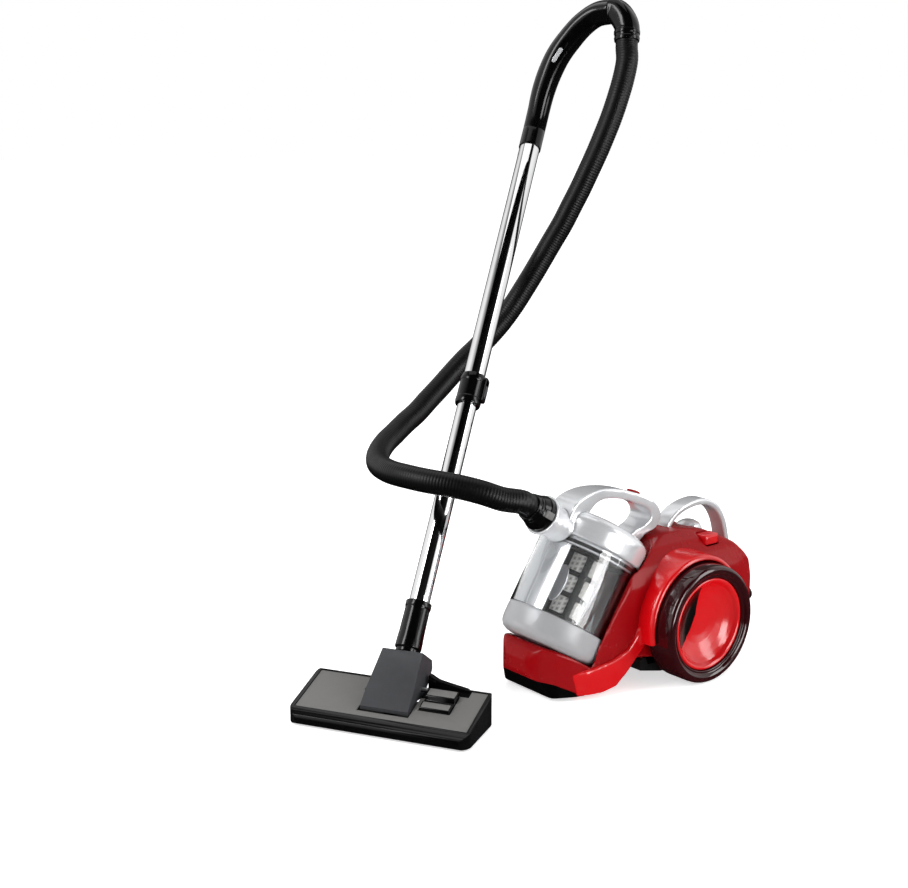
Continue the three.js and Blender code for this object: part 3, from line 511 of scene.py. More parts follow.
def soft_stuff(name, colour, dark, cell_mm, depth_mm, kind="TexVoronoi"):
    material, tree, surface, place = start(name, Roughness=0.9)
    cells = add(tree, kind, {"Vector": place, "Scale": 1000 / cell_mm})
    grey = add(tree, "TexNoise", {"Vector": place, "Scale": 1000 / 8, "Detail": 3.0})
    tint = add(tree, "Mix", {"Factor": cells.outputs[0], "A": linear(dark),
                             "B": linear(colour)}, data_type="RGBA")
    rough = add(tree, "MapRange", {"Value": grey.outputs["Fac"], "To Min": 0.8, "To Max": 1.0})
    relief = add(tree, "Bump", {"Height": cells.outputs[0], "Distance": depth_mm * MM})
    join_to(tree, surface, Base_Color=tint.outputs["Result"], Roughness=rough.outputs[0],
            Normal=relief.outputs[0])
    return material


open_foam = soft_stuff("open_cell_foam", "#5a5a58", "#2a2a2a", 1.4, 0.6)
filter_paper = soft_stuff("pleated_filter_paper", "#eae7de", "#cfcabd", 0.8, 0.1, "TexNoise")
nylon_bristle = soft_stuff("nylon_bristle", "#3a3a3a", "#121212", 0.9, 0.5)

screen_cloth, tree, surface, place = start("woven_screen_cloth", Roughness=0.55)
waves = []
for direction in ("X", "Z"):
    wave = add(tree, "TexWave", {"Vector": place, "Scale": 1000 / THREAD_MM / math.tau * 0.5},
               bands_direction=direction)
    waves.append(wave.outputs["Fac"])
weave = add(tree, "Math", {0: waves[0], 1: waves[1]}, operation="MAXIMUM")
tint = add(tree, "Mix", {"Factor": weave.outputs[0], "A": linear("#7d7c79"),
                         "B": linear("#d6d4cf")}, data_type="RGBA")
relief = add(tree, "Bump", {"Height": weave.outputs[0], "Distance": 0.2 * MM})
join_to(tree, surface, Base_Color=tint.outputs["Result"], Normal=relief.outputs[0])
print("screen threads drawn", THREAD_MM, "mm apart")

# %% [markdown]
# Dressing a piece is the same for all: its finish, soft shading that still breaks at
# true corners, the CAD body that it moves with and the CAD nodes that it stands for.

# %% Dress a piece
def dress(piece, finish, body, slot, *nodes, crease=38):
    piece.data.materials.clear()
    piece.data.materials.append(finish)
    if piece.type == "MESH":
        piece.data.polygons.foreach_set("use_smooth", [True] * len(piece.data.polygons))
        piece.data.set_sharp_from_angle(angle=math.radians(crease))
    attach(piece, body)
    if nodes:
        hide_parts(*nodes)
    print(f"{piece.name}: {len(piece.data.polygons)} faces, on {body}")
    return piece


# %% [markdown]
# ## The hose
# The suction hose is a blown polyethylene tube, 35 mm across, with close shallow
# ribs that let it bend and keep it round. It leaves the port on the bin's lid, loops
# round the wand and climbs to the grip. A curve with a round section could draw it,
# but the ribs need a surface, so it is a mesh tube along the CAD model's own route.

# %% The hose's route, in millimetres from the floor point under the axle
HOSE_RUN = [
    (-171, 106, 908), (-171, 99, 879), (-173, 90, 850), (-178, 82, 821), (-184, 73, 793),
    (-191, 64, 765), (-199, 55, 738), (-208, 46, 710), (-217, 36, 683), (-226, 26, 656),
    (-236, 15, 630), (-245, 3, 604), (-253, -10, 578), (-261, -24, 552), (-268, -39, 527),
    (-276, -55, 503), (-283, -74, 481), (-291, -95, 460), (-297, -117, 441),
    (-301, -139, 421), (-303, -162, 401), (-303, -186, 383), (-300, -211, 366),
    (-295, -238, 353), (-287, -264, 341), (-274, -290, 333), (-257, -313, 326),
    (-235, -333, 322), (-210, -349, 319), (-182, -359, 318), (-153, -364, 318),
    (-123, -362, 318), (-94, -355, 317), (-68, -342, 315), (-45, -324, 311),
    (-25, -303, 304), (-11, -279, 294)]
ELBOW_END, HOSE_DOWN = Vector((-181.6, 115, 951.4)), Vector((0.19, -0.19, -0.963)).normalized()
GAP = 0.35
CUFF_LENGTH, CONNECTOR_END = 16, 148
HOSE_RADIUS = 17.5

in_floor = FLOOR.inverted()
port_points = [in_floor @ (PORT @ Vector((0, 0, reach)))
               for reach in (CONNECTOR_END + 14, CONNECTOR_END + GAP)]
hose_start = ELBOW_END + HOSE_DOWN * (CUFF_LENGTH + 2 * GAP)
hose_knots = [hose_start, hose_start + HOSE_DOWN * 10, *HOSE_RUN, *port_points]
hose_line = route(hose_knots, 1400)
hose_length = sum((b - a).length for a, b in zip(hose_line, hose_line[1:]))
print("hose length", round(hose_length), "mm")

# %% [markdown]
# A tube follows its path on frames that never twist: each is the last one, turned
# just enough to face along the path. The section may change on the way, so the grip
# and the strap handle are swept by the same function.

# %% Sweep a section along a path
def swept(name, path, section, where=FLOOR, side=Vector((1, 0, 0)), loop=False):
    """section(t) gives the outline in (across, up) at a share t of the way along."""
    rings = []
    last = len(path) - 1
    for i, here in enumerate(path):
        ahead = (path[min(i + 1, last)] - path[max(i - 1, 0)]).normalized()
        side = (side - ahead * side.dot(ahead)).normalized()
        up = ahead.cross(side)
        rings.append([here + side * a + up * b for a, b in section(i / last)])
    return skin(name, rings, where, loop)


def circle(radius, sides=32):
    return [(radius * math.cos(math.tau * k / sides), radius * math.sin(math.tau * k / sides))
            for k in range(sides)]


RIB_PITCH_MM, RIB_DEPTH_MM = 4.2, 0.35


def hose_section(t):
    wave = 0.5 + 0.5 * math.cos(math.tau * t * hose_length / RIB_PITCH_MM)
    return circle(HOSE_RADIUS - RIB_DEPTH_MM * (1 - wave ** 0.6), 28)


hose = swept("hose", hose_line, hose_section)
dress(hose, hose_black, "canister", "black_satin", "hose", crease=80)

# %% [markdown]
# Three fittings end the hose. A short swivel cuff turns in the grip's elbow, and a
# bayonet connector with two grey squeeze latches locks in the lid's port. Both are
# turned pieces with real lips, so that a light runs round each step.

# %% Cuff and connector
cuff_axis = local(FLOOR @ (ELBOW_END + HOSE_DOWN * GAP), heading("hose_cuff_swivel"), ACROSS)
cuff = turned("hose_cuff", [(13, 0), (20.5, 0), (20.5, 5), (19.6, 6), (19.6, 10),
                            (20.3, 11), (19.5, 16), (13, 16)], cuff_axis, 0.6)
dress(cuff, black_gloss_abs, "cuff", "black_gloss", "hose_cuff")

connector = turned("hose_connector", [
    (14, 96), (19.6, 96), (19.6, 118.4), (26.5, 118.4), (26.5, 126), (25.2, 128),
    (22.4, 137), (21.6, 138), (21.6, 141), (20.4, 142.5), (20, 148), (14, 148)], PORT, 0.7)
LATCH_HALF = 5
carve(connector, block("pocket", 21.9, 30, -5.4, 5.4, 120.6, 134.4, PORT))
dress(connector, black_gloss_abs, "connector", "black_gloss", "hose_connector")

latch = block("connector_latch", 22.6, 28, -LATCH_HALF, LATCH_HALF, 121, 134, PORT)
for rib in range(3):
    carve(latch, block("groove", 27.3, 29, -6, 6, 123.5 + 3.6 * rib, 125 + 3.6 * rib, PORT))
bevelled(latch, 0.5, 2)
dress(latch, grey_plate_abs, "connector_key", "grey", "connector_latch")

# %% [markdown]
# ## The grip
# The grip is a bent pipe in two glossy halves, round where it takes the wand and
# flatter over the arch, where its cheeks become plain facets that mirror the room. A
# superellipse gives both: its power goes from 2, a circle, to about 4, a soft box.

# %% Grip and elbow
GRIP_BEND = [(-321, 55, 826), (-314, 60, 862), (-305, 66, 892), (-294, 74, 919),
             (-280, 85, 943), (-262, 96, 965), (-239, 106, 980), (-212, 113, 983)]
ELBOW_BEND = [(-212, 113, 983), (-198, 115.5, 977.5), (-187, 116, 965), (-181.6, 115, 951.4)]
GRIP_START = 906


def on_wand(height):
    return in_floor @ (WAND @ Vector((0, 0, height)))


def superellipse(half, power, sides=48):
    out = []
    for k in range(sides):
        turn = math.tau * (k + 0.5) / sides
        c, s = math.cos(turn), math.sin(turn)
        out.append((half * math.copysign(abs(c) ** (2 / power), c),
                    half * math.copysign(abs(s) ** (2 / power), s)))
    return out


def grip_section(t):
    swell = math.sin(math.pi * max(0, t - 0.25) / 0.75)
    return superellipse(18 + 2.0 * swell - 0.6 * max(0, t - 0.5), 2 + 2.4 * max(0, t - 0.45))


grip_line = route([on_wand(GRIP_START), on_wand(GRIP_START + 14), on_wand(GRIP_START + 28),
                   on_wand(GRIP_START + 38), *GRIP_BEND], 91)
arch_side = Vector((0.767, -0.607, 0.208))
grip = swept("grip", grip_line, grip_section, side=arch_side)
carve(grip, turned("socket", [(0, 890), (16.9, 890), (16.9, 933.5), (0, 933.5)], WAND, 0))

slider_at = 54
slider_up = arch_side.copy()
slider_ahead = (grip_line[slider_at + 1] - grip_line[slider_at - 1]).normalized()
slider_up = (slider_up - slider_ahead * slider_up.dot(slider_ahead)).normalized()
SLIDER = local(FLOOR @ grip_line[slider_at], slider_up, slider_ahead)
print("slider frame", [round(c, 3) for c in SLIDER.translation])
carve(grip, slab("pocket", round_rect(40, 9, 3), 16.2, 30, SLIDER))
bevelled(grip, 0.6, 2)
dress(grip, black_gloss_abs, "canister", "black_gloss", "grip")

slider = slab("suction_slider", round_rect(26, 6.4, 3, (-6, 0)), 16.6, 20.2, SLIDER)
heap(slider, block("thumb_rib", -9, -3, -2.6, 2.6, 20, 21.6, SLIDER))
softened(slider, 0.35, 3)
dress(slider, silver_lacquer, "slider", "grey", "suction_slider")

elbow_start = grip_line[-1]
elbow_way = (grip_line[-1] - grip_line[-2]).normalized()
elbow_line = route([elbow_start + elbow_way * 2 * GAP, elbow_start + elbow_way * 5,
                    *ELBOW_BEND[1:-1], ELBOW_END - HOSE_DOWN * 5, ELBOW_END], 40)


def elbow_section(t):
    lip = 0.7 * math.exp(-((t - 0.03) / 0.04) ** 2) + 0.6 * math.exp(-((t - 1) / 0.06) ** 2)
    return superellipse(18.9 + lip, 3.2 - 1.1 * t)


elbow = swept("grip_elbow", elbow_line, elbow_section, side=arch_side)
bevelled(elbow, 0.8, 3)
dress(elbow, black_gloss_abs, "canister", "black_gloss", "grip_elbow")

# %% [markdown]
# ## The wand
# Two chromed steel tubes slide in each other. The lower one has a row of pressed
# notches that the latch drops into, each a real dent here. The sleeve between them
# is a glossy moulding with a rail on one side that carries the latch button.

# %% Telescopic tubes, latch and neck
UPPER_TUBE, LOWER_TUBE = (447, 932), (80, 560)


def tube(name, inner, outer, ends):
    low, high = ends
    return turned(name, [(inner, low), (outer, low), (outer, high), (inner, high)], WAND, 0.35)


upper_tube = tube("upper_tube", 15.15, 16.5, UPPER_TUBE)
dress(upper_tube, polished_chrome, "canister", "chrome", "upper_tube")

NOTCHES, NOTCH_STEP, FIRST_NOTCH = 7, 42, 153
lower_tube = tube("lower_tube", 13.2, 14.8, LOWER_TUBE)
for row in range(NOTCHES):
    middle = FIRST_NOTCH + NOTCH_STEP * row
    pocket = slab("notch", round_rect(6, 7, 2, (0, middle)), 14.0, 20, WAND, "x")
    carve(lower_tube, pocket)
dress(lower_tube, polished_chrome, "wand_lower", "chrome", "lower_tube")

sleeve = turned("latch_sleeve", [
    (15.15, 436), (18.2, 436), (19, 437.5), (19.6, 441), (19.6, 446), (19, 447.5),
    (19, 474), (19.8, 475.5), (19.8, 479), (18.5, 486), (16.85, 486), (16.85, 446.6),
    (15.15, 446.6)], WAND, 0.7)
rail = slab("rail", round_rect(16, 40, 5, (0, 463)), 15, 24.2, WAND, "x")
bevelled(rail, 1.6, 4)
combine(sleeve, "UNION", [rail])
carve(sleeve, turned("bore", [(0, 430), (15.15, 430), (15.15, 446.6), (16.85, 446.6),
                              (16.85, 490), (0, 490)], WAND, 0),
      block("keyway", 20.4, 28, -5.5, 5.5, 449, 479, WAND))
dress(sleeve, black_gloss_abs, "canister", "black_gloss", "latch_sleeve")

latch_button = slab("latch_button", round_rect(10, 20, 3, (0, 460)), 20.8, 25.4, WAND, "x")
bevelled(latch_button, 1.0, 3)
dress(latch_button, dark_grey_abs, "wand_key", "grey_dark", "latch_button")

neck = turned("neck_socket", [
    (12, 47), (16.6, 47), (16.6, 52), (19, 54), (18.7, 66), (18.1, 78), (17.6, 112),
    (18.6, 114.5), (18.6, 122), (15.15, 122), (15.15, 79), (12, 79)], WAND, 0.8)
dress(neck, black_gloss_abs, "wand_lower", "black_gloss", "neck_socket")

# %% [markdown]
# ## The canister's shell
# The red shell is one moulding on the real cleaner: a narrow hood with a sloping
# cradle for the bin, and a broad fender that curls over each wheel and sweeps down
# under the bin. The hood is where three outlines, seen from the side, the top and
# the front, overlap. A coarse remesh then rounds it like a bar of soap.

# %% Hood
SIDE = [(-238, 5), (-249, 24), (-261, 42), (-262, 60), (-256, 74), (-246, 82),
        (-192, 60), (-178, 70), (-104, 176), (-62, 192), (-26, 200), (2, 206), (41, 206),
        (84, 200), (122, 180), (150, 150), (168, 122), (174, 108), (174, 54), (160, 42),
        (60, 30), (-40, 34), (-104, 46), (-120, 30), (-140, 12), (-166, 5), (-205, 5)]
HALF_PLAN = [(20, -263), (40, -251), (56, -232), (70, -205), (80, -150), (84, -100),
             (84, 120), (78, 150), (66, 170), (56, 176)]
CROWN = [(-90, 0), (90, 0), (88, 120), (84, 150), (74, 176), (58, 194), (34, 205), (0, 208),
         (-34, 205), (-58, 194), (-74, 176), (-84, 150), (-88, 120)]
BAY = [(-94, -5), (-94, 54), (-34, 156), (-14, 180), (18, 194), (48, 194), (92, 182),
       (128, 154), (154, 114), (160, 104), (160, 64), (150, -5)]
WHEEL_RADIUS, CHEEK_HALF = 89, 86
FENDER_RADIUS, FENDER_OUT = 99, 112

plan = HALF_PLAN + [(-x, y) for x, y in reversed(HALF_PLAN)]
hood = slab("hood", SIDE, -90, 90, FLOOR, "x")
overlap(hood, slab("plan", plan, -20, 240), slab("crown", CROWN, -300, 200, FLOOR, "y"))
softened(hood, 3.0, 6)
print("hood", len(hood.data.polygons), "faces")

# %% [markdown]
# The cuts come next: the slanting seats of the bin and its lid, the wheel wells, the
# motor bay, and holes for the caster, the dial, the keys, the grille and the strap
# handle. One fine remesh after them leaves a small radius on every new edge, and the
# keys' wells are cut again after it, so that they keep room for the keys to travel.
# The black chin under the nose is the part of the hood inside one outline. It is
# painted shade, a black piece where the red nose lies in shadow under the bin.

# %% Cuts in the shell
BIN_RADIUS, LID_RADIUS, BIN_HEIGHT = 76, 78, 150
FOOT_LOW = -8
KEYS = {"power_button": 56, "rewind_button": -56}
KEY_BACK, DIAL_BACK = 74, 94
GRILLE = (-38, 38, 58, 108)
GLAND = (54, 82)
STRAP = [(0, 37, 186), (0, 37, 206), (0, 52, 221), (0, 78, 231), (0, 112, 233),
         (0, 142, 221), (0, 160, 198), (0, 169, 172), (0, 173, 150), (0, 168, 132)]
strap_line = route(STRAP, 80)


def rod(name, radius, low, high, where, sides=72):
    return turned(name, [(0, low), (radius, low), (radius, high), (0, high)], where, 0, sides)


def upright(x, y):
    return local(FLOOR @ Vector((x, y, 0)), UP, ACROSS)


def lengthwise(x, z):
    return local(FLOOR @ Vector((x, 0, z)), Vector((0, 1, 0)), ACROSS)


def strap_section(width, thickness, corner):
    outline = round_rect(width, thickness, corner)
    return lambda t: outline


def key_body(name, grow):
    x = KEYS[name]
    return slab("key", round_rect(24 + grow, 30 + grow, 6, (x, KEY_BACK)), 182 - 4 * grow, 210)


def shell_cuts():
    tools = [rod("bin_seat", BIN_RADIUS + 2.5, FOOT_LOW - GAP, 260, BIN),
             rod("lid_seat", LID_RADIUS + 2.5, BIN_HEIGHT - 6, 300, BIN),
             rod("dial_seat", 23, 176, 260, upright(0, DIAL_BACK)),
             rod("dial_stem", 5.3, 150, 190, upright(0, DIAL_BACK)),
             rod("gland", 8.4, 150, 190, lengthwise(*GLAND)),
             block("grille", GRILLE[0] - GAP, GRILLE[1] + GAP, 150, 190, GRILLE[2] - GAP,
                   GRILLE[3] + GAP),
             swept("strap", strap_line, strap_section(28.7, 10.7, 3.6))]
    bay = slab("bay", BAY, -62, 62, FLOOR, "x")
    overlap(bay, slab("bay_end", [(-62, -10), (62, -10), (62, 140), (50, 176), (30, 196),
                                  (-30, 196), (-50, 176), (-62, 140)], -200, 200, FLOOR, "y"))
    tools.append(bay)
    tools += [key_body(name, 2 * GAP) for name in KEYS]
    for side in (WHEEL_LEFT, WHEEL_RIGHT):
        tools.append(rod("well", WHEEL_RADIUS + 2.5, CHEEK_HALF + 0.5, 160, side))
        tools.append(rod("pin_hole", 6.9, 40, 120, side))
    caster_at = in_floor @ spot("caster_swivel")
    tools.append(rod("caster_well", 35, -5, 31, upright(0, caster_at.y)))
    tools.append(rod("caster_stem", 5.3, 30, 52, upright(0, caster_at.y)))
    return tools


SHADE_CHIN_GAP = 0.6
SHADE_CHIN_SIDE = [(-290, -10), (-290, 36), (-262, 34), (-236, 27), (-206, 12), (-198, -10)]
carve(hood, *shell_cuts())
softened(hood, 1.7, 3)
carve(hood, *[key_body(name, 2 * GAP) for name in KEYS])
# The chin is painted shade: black cut from the red hood where the nose lies in shadow under the
# bin.
painted_shade_chin = slab("painted_shade_chin", SHADE_CHIN_SIDE, -90, 90, FLOOR, "x")
painted_shade_chin_space = slab("painted_shade_chin_space", [(y + SHADE_CHIN_GAP, z + SHADE_CHIN_GAP) for y, z in SHADE_CHIN_SIDE], -90, 90,
                  FLOOR, "x")
whole = hood.copy()
whole.data = hood.data.copy()
bpy.context.scene.collection.objects.link(whole)
overlap(painted_shade_chin, whole)
carve(hood, painted_shade_chin_space)
dress(painted_shade_chin, black_gloss_abs, "canister", "black_gloss", crease=50)
# Painted shade: the hood is the same red plastic as the fenders, drawn in a darker red for the
# shade it lies in behind the bin.
dress(hood, deep_red_and_painted_shade_abs, "canister", "red_gloss", "body_shell", crease=60)

# %% [markdown]
# Each fender is a band, thick and softly crowned, that follows a circle round the
# wheel and then flows forward under the bin. It is swept as rings of one section, so
# its long highlight stays even, then melted into the flowing part and cut like the
# hood.

# %% Fenders
SWEEP_SIDE = [(-99, 96), (-106, 78), (-120, 64), (-144, 54), (-178, 47), (-214, 43),
              (-206, 8), (-166, 6.4), (-140, 12.4), (-120, 30), (-104, 46), (-86, 62),
              (-80, 92)]
SWEEP_PLAN = [(40, -230), (62, -222), (78, -190), (85, -150), (88, -118), (88, -70),
              (40, -70)]
BAND = [(54, 69), (FENDER_OUT - 1, 69), (FENDER_OUT, 70), (FENDER_OUT, 94),
        (FENDER_OUT - 1.4, 97), (FENDER_OUT - 5, 98.6), (100, FENDER_RADIUS),
        (80, FENDER_RADIUS + 0.2), (54, FENDER_RADIUS)]


def fender(name, mirror, where):
    rings = []
    steps = 90
    for i in range(steps + 1):
        turn = math.radians(-12 + 212 * i / steps)
        rings.append([(mirror * x, -r * math.cos(turn), WHEEL_RADIUS + r * math.sin(turn))
                      for x, r in BAND])
    band = skin(name, rings)
    low, high = sorted((mirror * 30, mirror * 100))
    flow = slab("flow", SWEEP_SIDE, low, high, FLOOR, "x")
    overlap(flow, slab("plan", [(mirror * x, y) for x, y in SWEEP_PLAN], -10, 120))
    softened(flow, 2.0, 6)
    heap(band, flow)
    softened(band, 1.6, 2)
    carve(band, *shell_cuts())
    softened(band, 1.3, 4)
    return dress(band, red_abs, "canister", "red_gloss", name, crease=60)


fender("fender_left", 1, WHEEL_LEFT)
fender("fender_right", -1, WHEEL_RIGHT)

# %% [markdown]
# ## Wheels
# A wheel is a red dish inside a broad rim of smoked plastic. The dish is deep, with a
# rolled lip, and a black crescent lies in its front as painted shade, a dark sheet
# where the front of the dish is in shadow. Turned profiles suit all of it: the light
# then runs round in true circles.

# %% Rim, dish, painted shade crescent and axle pins
RIM = [(70.2, 92), (85, 90), (89, 94), (89, 128), (88.4, 134), (86.5, 137.6),
       (83, 138.9), (79, 138.6), (76.4, 137), (75.4, 135.2), (73.4, 134.6), (71, 134.6),
       (70.2, 133)]
DISH = [(0, 106), (6.9, 106), (6.9, 93), (20, 93), (24, 96), (62, 96), (69.6, 99),
        (69.6, 130), (69, 132.4), (66.5, 133.2), (63.5, 131.6), (60, 127), (54, 122.6),
        (46, 118.6), (34, 114.4), (22, 112), (10, 111), (0, 110.7)]
# The crescent is painted shade: a black sheet laid on the front of each dish, where the dish lies
# in shadow.
SHADE_CRESCENT_RADIUS, SHADE_LINING_RISE = 63, 0.6
SHADE_LINING = [(63, 131), (60, 127.1), (54, 122.7), (46, 118.7), (34, 114.5), (20, 111.9),
          (6, 111)]
SHADE_LINING += [(r, h + SHADE_LINING_RISE) for r, h in reversed(SHADE_LINING)]
SHADE_CRESCENT = [(-12, 146), (-8, 124), (-8, 101), (-18, 81), (-34, 67), (-55, 58)]
SHADE_CRESCENT += [(-SHADE_CRESCENT_RADIUS * math.cos(math.radians(turn)),
              WHEEL_RADIUS + SHADE_CRESCENT_RADIUS * math.sin(math.radians(turn)))
             for turn in range(-28, 74, 6)]

for side, where in (("left", WHEEL_LEFT), ("right", WHEEL_RIGHT)):
    rim = turned("wheel_tyre_" + side, RIM, where, 1.4, 144)
    dress(rim, smoked_rim, "wheel_" + side, "smoked", "wheel_tyre_" + side)
    dish = turned("wheel_hub_" + side, DISH, where, 1.6, 144)
    dress(dish, red_abs, "wheel_" + side, "red_gloss", "wheel_hub_" + side, crease=50)
    out = 1 if side == "left" else -1
    shade_crescent = turned("wheel_painted_shade_crescent_" + side, SHADE_LINING, where, 0, 144)
    low, high = sorted((out * 100, out * 140))
    overlap(shade_crescent, slab("outline", SHADE_CRESCENT, low, high, FLOOR, "x"))
    dress(shade_crescent, black_gloss_abs, "wheel_" + side, "black_gloss", crease=50)
    pin = turned("axle_pin_" + side, [(0, 58), (11, 58), (11, 61.6), (6.6, 61.6), (6.6, 105.5),
                                      (0, 105.5)], where, 0.6, 48)
    dress(pin, bright_steel, "canister", "steel", "axle_pin_" + side)

# %% [markdown]
# The bin's cup, foot and lid turn about one leaning axis. The cup is a real wall,
# 3 mm thick with both faces, because clear plastic only looks right when light goes
# in through one face and out through the other. A silver liner, a thin bent sheet,
# stands inside the cup's front left, where the cup looks silver-white; it is a sector
# of a cylinder.

# %% Bin cup, foot and liner
WALL = 3
cup = turned("bin_cup", [(BIN_RADIUS - WALL, 34.4), (BIN_RADIUS, 34.4),
                         (BIN_RADIUS, BIN_HEIGHT), (BIN_RADIUS - WALL, BIN_HEIGHT)],
             BIN, 0.8, 144)
dress(cup, clear_cup, "bin", "clear", "bin_cup")

foot = turned("bin_base", [(0, FOOT_LOW), (60, FOOT_LOW), (70, FOOT_LOW + 4),
                           (75, FOOT_LOW + 12), (76, 14), (76, 34), (73, 34), (73, 14),
                           (66, FOOT_LOW + 9), (0, FOOT_LOW + 4)], BIN, 5, 144, 6)
dress(foot, frosted_foot, "bin", "frosted", "bin_base")

LINER_FROM, LINER_TO, LINER_STEPS = -235, -67, 48
liner_outline = [(r * math.cos(math.radians(turn)), r * math.sin(math.radians(turn)))
                 for r, way in ((72.4, 1), (71.2, -1))
                 for turn in [LINER_FROM + (LINER_TO - LINER_FROM) * k / LINER_STEPS
                              for k in range(LINER_STEPS + 1)][::way]]
liner = slab("bin_liner", liner_outline, 16, 137, BIN)
dress(liner, silver_lacquer, "bin", "silver")

# %% [markdown]
# Inside stands the cyclone core: a black cage with rows of windows over a woven
# screen, a skirt below, and an oval silver plate where dirty air comes in. It hangs
# from the lid, so it lifts out with it.

# %% Cyclone core
CORE_RADIUS = 37
core = turned("cyclone_core", [(34, 40), (CORE_RADIUS, 40), (CORE_RADIUS, 134), (65, 134),
                               (65, 137.6), (34, 137.6)], BIN, 0.8, 96)
windows = []
for row in range(3):
    for k in range(7):
        turn = Matrix.Rotation(math.tau * k / 7 - math.radians(60), 4, "Z")
        opening = slab("window", round_rect(22, 24, 2, (0, 58 + 31 * row)), 25, 60,
                       BIN @ turn, "x")
        windows.append(opening)
carve(core, *windows)
bevelled(core, 0.5, 2)
dress(core, black_satin_abs, "lid", "black_satin", "cyclone_core")

screen = turned("cyclone_mesh", [(32.4, 41), (33.65, 41), (33.65, 134), (32.4, 134)], BIN, 0.2)
dress(screen, screen_cloth, "lid", "mesh_grey", "cyclone_mesh")
skirt = turned("cyclone_cone", [(18, 12), (31, 12), (36, 26), (CORE_RADIUS, 32),
                                (CORE_RADIUS, 39.6), (29, 39.6), (29, 30)], BIN, 1.2, 96)
dress(skirt, black_gloss_abs, "lid", "black_satin", "cyclone_cone")

facing = BIN @ Matrix.Rotation(math.radians(12), 4, "Z")
oval = [(12 * math.cos(math.tau * k / 64), 27 * math.sin(math.tau * k / 64) + 84)
        for k in range(64)]
plate = slab("inlet_plate", oval, -41.5, -38.5, facing, "y")
bevelled(plate, 1.2, 4)
dress(plate, silver_lacquer, "lid", "silver", "inlet_plate")

# %% [markdown]
# The lid is a lacquered band with a flared collar for the hose. Both are turned, on
# axes that cross at a right angle, then melted together so that the collar grows out
# of the band in one soft curve. The cut through the collar is the air inlet.

# %% Lid
DOME = [(0, 150.35), (LID_RADIUS, 150.35), (LID_RADIUS, 176), (76, 183), (66, 190),
        (40, 195), (0, 196)]
lid = turned("bin_lid", DOME, BIN, 3, 144)
collar = turned("collar", [(0, 50), (25, 50), (25, 88), (26, 100), (28, 110), (30, 116),
                           (30, 118), (0, 118)], PORT, 1.2, 112)
carve(collar, rod("cup_space", BIN_RADIUS + GAP, -5, BIN_HEIGHT + GAP, BIN, 144))
spigot = rod("spigot", 69.5, 138, 154, BIN, 112)
heap(lid, collar, spigot)
softened(lid, 1.2, 5)
carve(lid, turned("chamber", [(0, 120), (66, 120), (66, 180), (60, 184), (0, 188)], BIN, 0),
      rod("bore", 20, 56, 140, PORT), rod("counterbore", 26.9, 114, 123, PORT))
bevelled(lid, 0.4, 2, 50)
dress(lid, silver_lacquer, "lid", "silver", "bin_lid", crease=45)

gasket = turned("lid_gasket", [(69.85, 141), (72.6, 141), (72.6, 143), (72, 143.4),
                               (72.6, 143.8), (72.6, 146), (69.85, 146)], BIN, 0.3)
dress(gasket, tyre_rubber, "lid", "rubber", "lid_gasket")

# %% [markdown]
# The carry handle is an arch with a broad side wall. Its outline flows through a few
# points, and the top view narrows it in the middle where the fingers go. A remesh
# rounds the edges that a palm would feel.

# %% Carry handle and its release key
HANDLE_SIDE = [(-186, 240), (-178, 262), (-168, 276), (-148, 284), (-120, 288), (-88, 285),
               (-48, 274), (-14, 259), (3, 243), (7, 230), (-2, 214), (-26, 204),
               (-40, 186), (-56, 176), (-70, 196), (-48, 212), (-26, 220), (-14, 230),
               (-18, 243), (-44, 258), (-88, 270), (-116, 271), (-136, 262), (-146, 246),
               (-150, 232)]
HANDLE_TOP = [(18, -196), (22, -150), (17, -100), (19, -40), (22, 16), (-22, 16), (-19, -40),
              (-17, -100), (-22, -150), (-18, -196)]


def release_body(grow):
    return slab("release", round_rect(14 + grow, 18 + grow, 4, (0, -30)), 258 - 4 * grow, 280)


handle = slab("bin_handle", flowing(HANDLE_SIDE), -23, 23, FLOOR, "x")
overlap(handle, slab("top", flowing(HANDLE_TOP), 100, 320))
softened(handle, 1.4, 8)
carve(handle, turned("dome", [(r + (GAP if r else 0), h + (GAP if h > 160 else -GAP))
                              for r, h in DOME], BIN, 3, 144),
      rod("cup_space", BIN_RADIUS + GAP, -5, BIN_HEIGHT + GAP, BIN, 144),
      turned("collar", [(0, 40), (25.35, 40), (25.35, 88), (26.35, 100), (28.35, 110),
                        (30.35, 116), (30.35, 150), (0, 150)], PORT, 0.8, 112),
      release_body(2 * GAP))
dress(handle, silver_lacquer, "lid", "silver", "bin_handle", crease=45)

release = release_body(0)
overlap(release, slab("slope", [(-45, 250), (-45, 275.5), (-30, 271.5), (-15, 264),
                                (-15, 250)], -20, 20, FLOOR, "x"))
bevelled(release, 1.2, 4)
dress(release, deep_red_and_painted_shade_abs, "release_key", "red_deep", "bin_release")

# %% [markdown]
# Behind the bin a flat loop of lacquered plastic stands over the power dial, and a
# small key sits each side of it. The loop is swept with a soft rectangle; the dial is
# turned and then given finger flutes by moving its rim in and out.

# %% Strap handle, dial and keys
strap = swept("rear_handle", strap_line, strap_section(28, 10, 3.4))
bevelled(strap, 0.9, 3)
dress(strap, silver_lacquer, "canister", "silver", "rear_handle")

